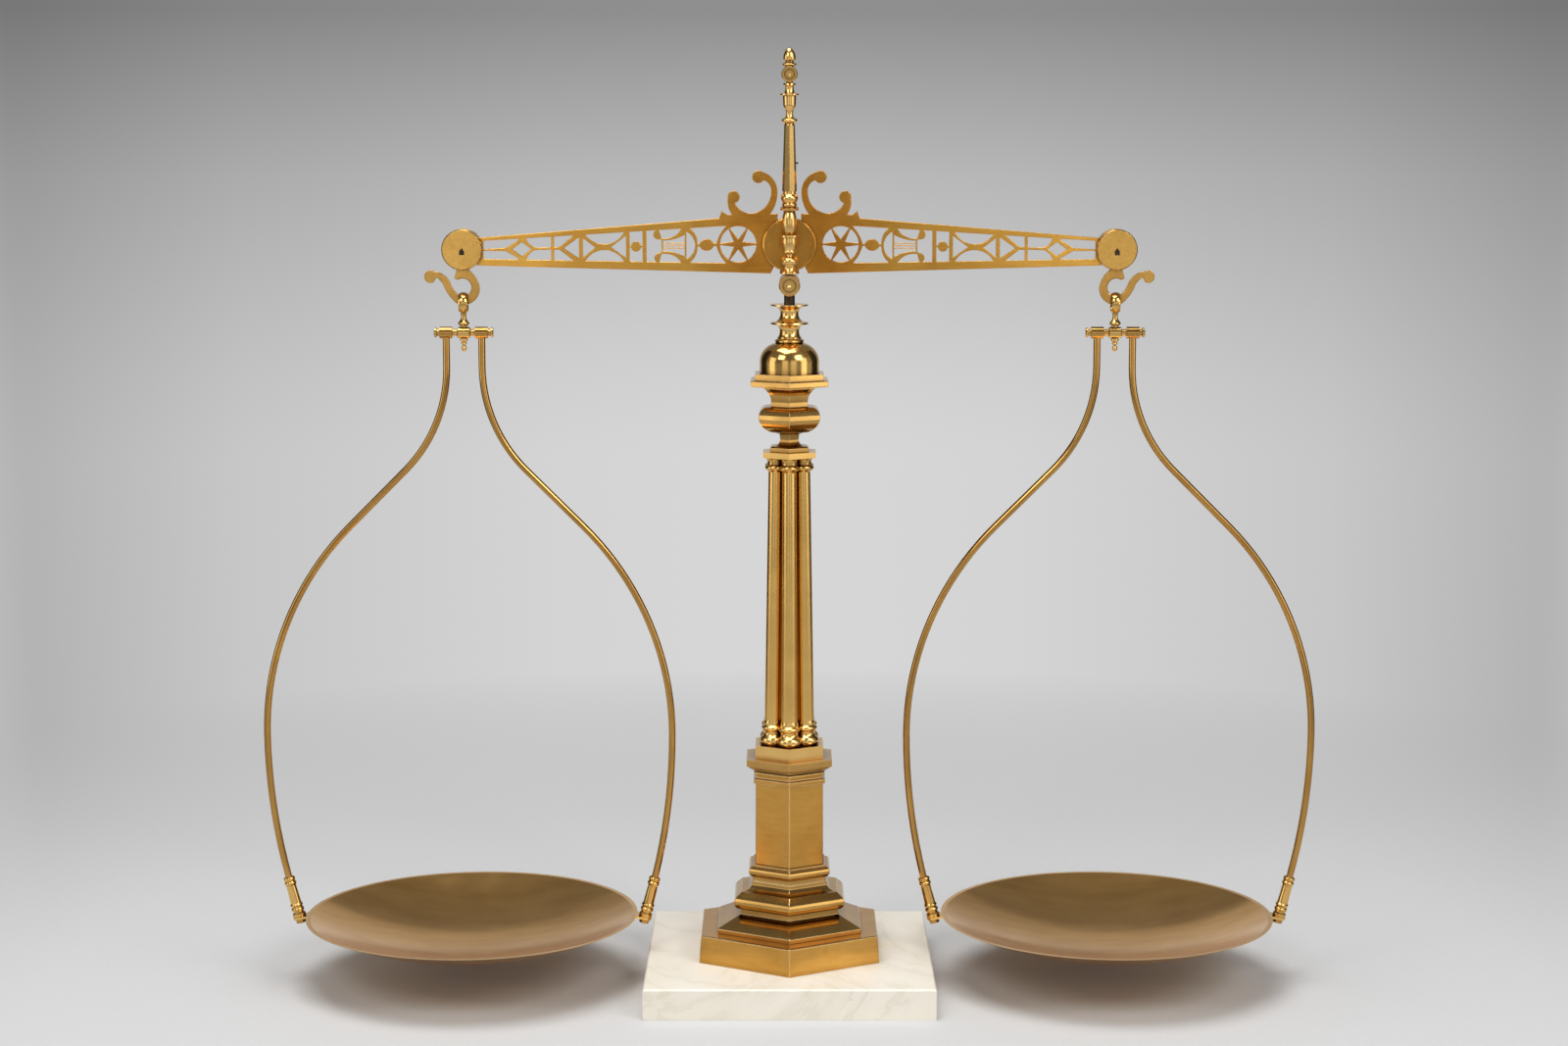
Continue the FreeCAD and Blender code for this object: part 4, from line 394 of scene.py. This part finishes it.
def studio_sweep():
    """Pale round sweep: a flat floor that curves up into a wall, with shade painted in darker towards the
    top and the sides.
    """
    floor_end, bend, top = 3.2, 1.2, 2.6
    turns, steps = 96, 20
    floor_rings = (0.6, 1.8, floor_end)
    rows = [(out, 0.0) for out in floor_rings]
    for step in range(1, steps + 1):
        angle = step / steps * pi / 2
        rows.append((floor_end + bend * sin(angle), bend * (1 - cos(angle))))
    rows.append((floor_end + bend, top))
    points = [(0.0, 0.0, 0.0)]
    for out, up in rows:
        for turn in range(turns):
            angle = turn / turns * 2 * pi
            points.append((out * cos(angle), out * sin(angle), up))
    faces = [(0, 1 + turn, 1 + (turn + 1) % turns) for turn in range(turns)]
    for row in range(len(rows) - 1):
        low = 1 + row * turns
        for turn in range(turns):
            after = (turn + 1) % turns
            faces.append((low + turn, low + turns + turn, low + turns + after, low + after))
    stage_sheet("sweep", points, faces, sweep_paper())


def sweep_paper():
    """Pale paper: away from the object it glows with a tone that has the studio's shade painted in, darker
    towards the top and the sides, to the eye and the brass, lighting nothing.
    """
    finish = Finish("paper")
    tooth = finish.noise(300.0, 3.0)
    colour = finish.ramp(tooth, ((0.3, 0.615), (0.7, 0.635)))
    paper = finish.finish(colour, finish.ramp(tooth, ((0.3, 0.86), (0.7, 0.9))), metal=0.0)
    split = finish.nodes.new("ShaderNodeSeparateXYZ")
    finish.link(finish.place, split.inputs[0])
    path = finish.nodes.new("ShaderNodeLightPath").outputs
    # Behind the object, within the photograph's view: paler low down, stretched upwards in the brass.
    stretch = 0.78
    nearer = finish.maths("SUBTRACT", 1.0, finish.maths("MULTIPLY", path["Is Glossy Ray"], stretch))
    height = finish.maths("MULTIPLY", split.outputs["Z"], nearer)
    # Painted shade on the backdrop: darker with height, as the studio light falls off.
    height_shade = finish.ramp(height, ((0.0, 0.672), (0.11, 0.635), (0.48, 0.48), (0.82, 0.275)))
    view_spread, view_half, view_least = 0.316, 0.66, 0.4
    width = finish.maths("ADD", finish.maths("MULTIPLY", split.outputs["Y"], view_spread), view_half)
    width = finish.maths("MAXIMUM", width, view_least)
    aside = finish.maths("DIVIDE", finish.maths("ABSOLUTE", split.outputs["X"]), width)
    # Painted shade on the backdrop: darker towards the sides.
    side_shade = finish.ramp(aside, ((0.08, 1.0), (0.25, 0.975), (0.58, 0.85), (0.8, 0.68)))
    behind = finish.mix(height_shade, side_shade)
    half_room = 4.0
    back_half = finish.maths("MULTIPLY", finish.maths("ADD", split.outputs["Y"], half_room), 0.5 / half_room)
    share = finish.mix(
        finish.ramp(aside, ((0.82, 1.0), (1.0, 0.0))), finish.ramp(back_half, ((0.4, 0.0), (0.5, 1.0)))
    )
    # All round the room, and dimmer in the brass.
    half_height = finish.maths("MULTIPLY", split.outputs["Z"], 0.5)
    # Painted shade: the room is darker with height.
    room_height_shade = finish.ramp(half_height, ((0.0, 0.62), (0.1, 0.56), (0.5, 0.36)))
    dim = finish.ramp(back_half, ((0.2, 0.45), (0.36, 0.15)))
    room = finish.maths("SUBTRACT", 1.0, finish.maths("MULTIPLY", path["Is Glossy Ray"], dim))
    tone = finish.mix(finish.mix(room_height_shade, room), behind, share, "MIX")
    seen = finish.maths("MAXIMUM", path["Is Camera Ray"], path["Is Glossy Ray"])
    seen = finish.maths("MAXIMUM", seen, path["Is Transmission Ray"])
    half_way = finish.maths("MULTIPLY", finish.radius((0, 0, 0), "Z"), 0.5)
    away = finish.ramp(half_way, ((0.27, 0.0), (0.6, 1.0)))
    glow = finish.nodes.new("ShaderNodeEmission")
    finish.link(tone, glow.inputs["Color"])
    blend = finish.nodes.new("ShaderNodeMixShader")
    finish.link(finish.maths("MULTIPLY", seen, away), blend.inputs[0])
    finish.link(finish.shader.outputs[0], blend.inputs[1])
    finish.link(glow.outputs[0], blend.inputs[2])
    finish.link(blend.outputs[0], finish.nodes["Material Output"].inputs["Surface"])
    return paper


def side_flags():
    """Dark cards beside the backdrop, seen only in the reflections of the brass."""
    finish = Finish("felt")
    colour = finish.ramp(finish.noise(40.0, 3.0), ((0.3, 0.012), (0.7, 0.02)))
    grain = finish.ramp(finish.noise(300.0, 3.0), ((0.3, 0.9), (0.7, 0.95)))
    felt = finish.finish(colour, grain, metal=0.0)
    near, far, top = (0.95, 0.1), (1.2, 1.3), 1.5
    for name, side in (("flag_left", -1), ("flag_right", 1)):
        points = [(side * x, y, z) for x, y in (near, far) for z in (0.0, top)]
        flag = stage_sheet(name, points, [(0, 1, 3, 2)], felt)
        flag.visible_camera = False
        flag.visible_diffuse = False
        flag.visible_shadow = False
        flag.visible_transmission = False


def soft_light(name, place, aim, width, height, power):
    data = bpy.data.lights.new(name, "AREA")
    data.shape = "RECTANGLE"
    data.size = width
    data.size_y = height
    data.energy = power
    lamp = bpy.data.objects.new(name, data)
    lamp.location = place
    lamp.rotation_euler = (Vector(aim) - Vector(place)).to_track_quat("-Z", "Y").to_euler()
    bpy.context.collection.objects.link(lamp)


def light_studio():
    world = bpy.data.worlds.new("studio")
    bpy.context.scene.world = world
    world.use_nodes = True
    background = world.node_tree.nodes["Background"].inputs
    background["Color"].default_value = WORLD_COLOUR
    background["Strength"].default_value = 1.0
    for lamp in LAMPS:
        soft_light(*lamp)


def place_camera():
    """Camera at the photograph's height and distance, pitched down a little."""
    data = bpy.data.cameras.new("camera")
    data.sensor_width = SENSOR_WIDTH
    data.lens = SENSOR_WIDTH * FOCAL_PIXELS / PHOTO_WIDTH
    data.clip_end = CAMERA_REACH
    camera = bpy.data.objects.new("camera", data)
    camera.location = CAMERA_PLACE
    camera.rotation_euler = (radians(CAMERA_PITCH), 0, 0)
    bpy.context.collection.objects.link(camera)
    bpy.context.scene.camera = camera


dress_solids()
studio_sweep()
side_flags()
light_studio()
place_camera()
bpy.context.scene.view_settings.view_transform = "Standard"
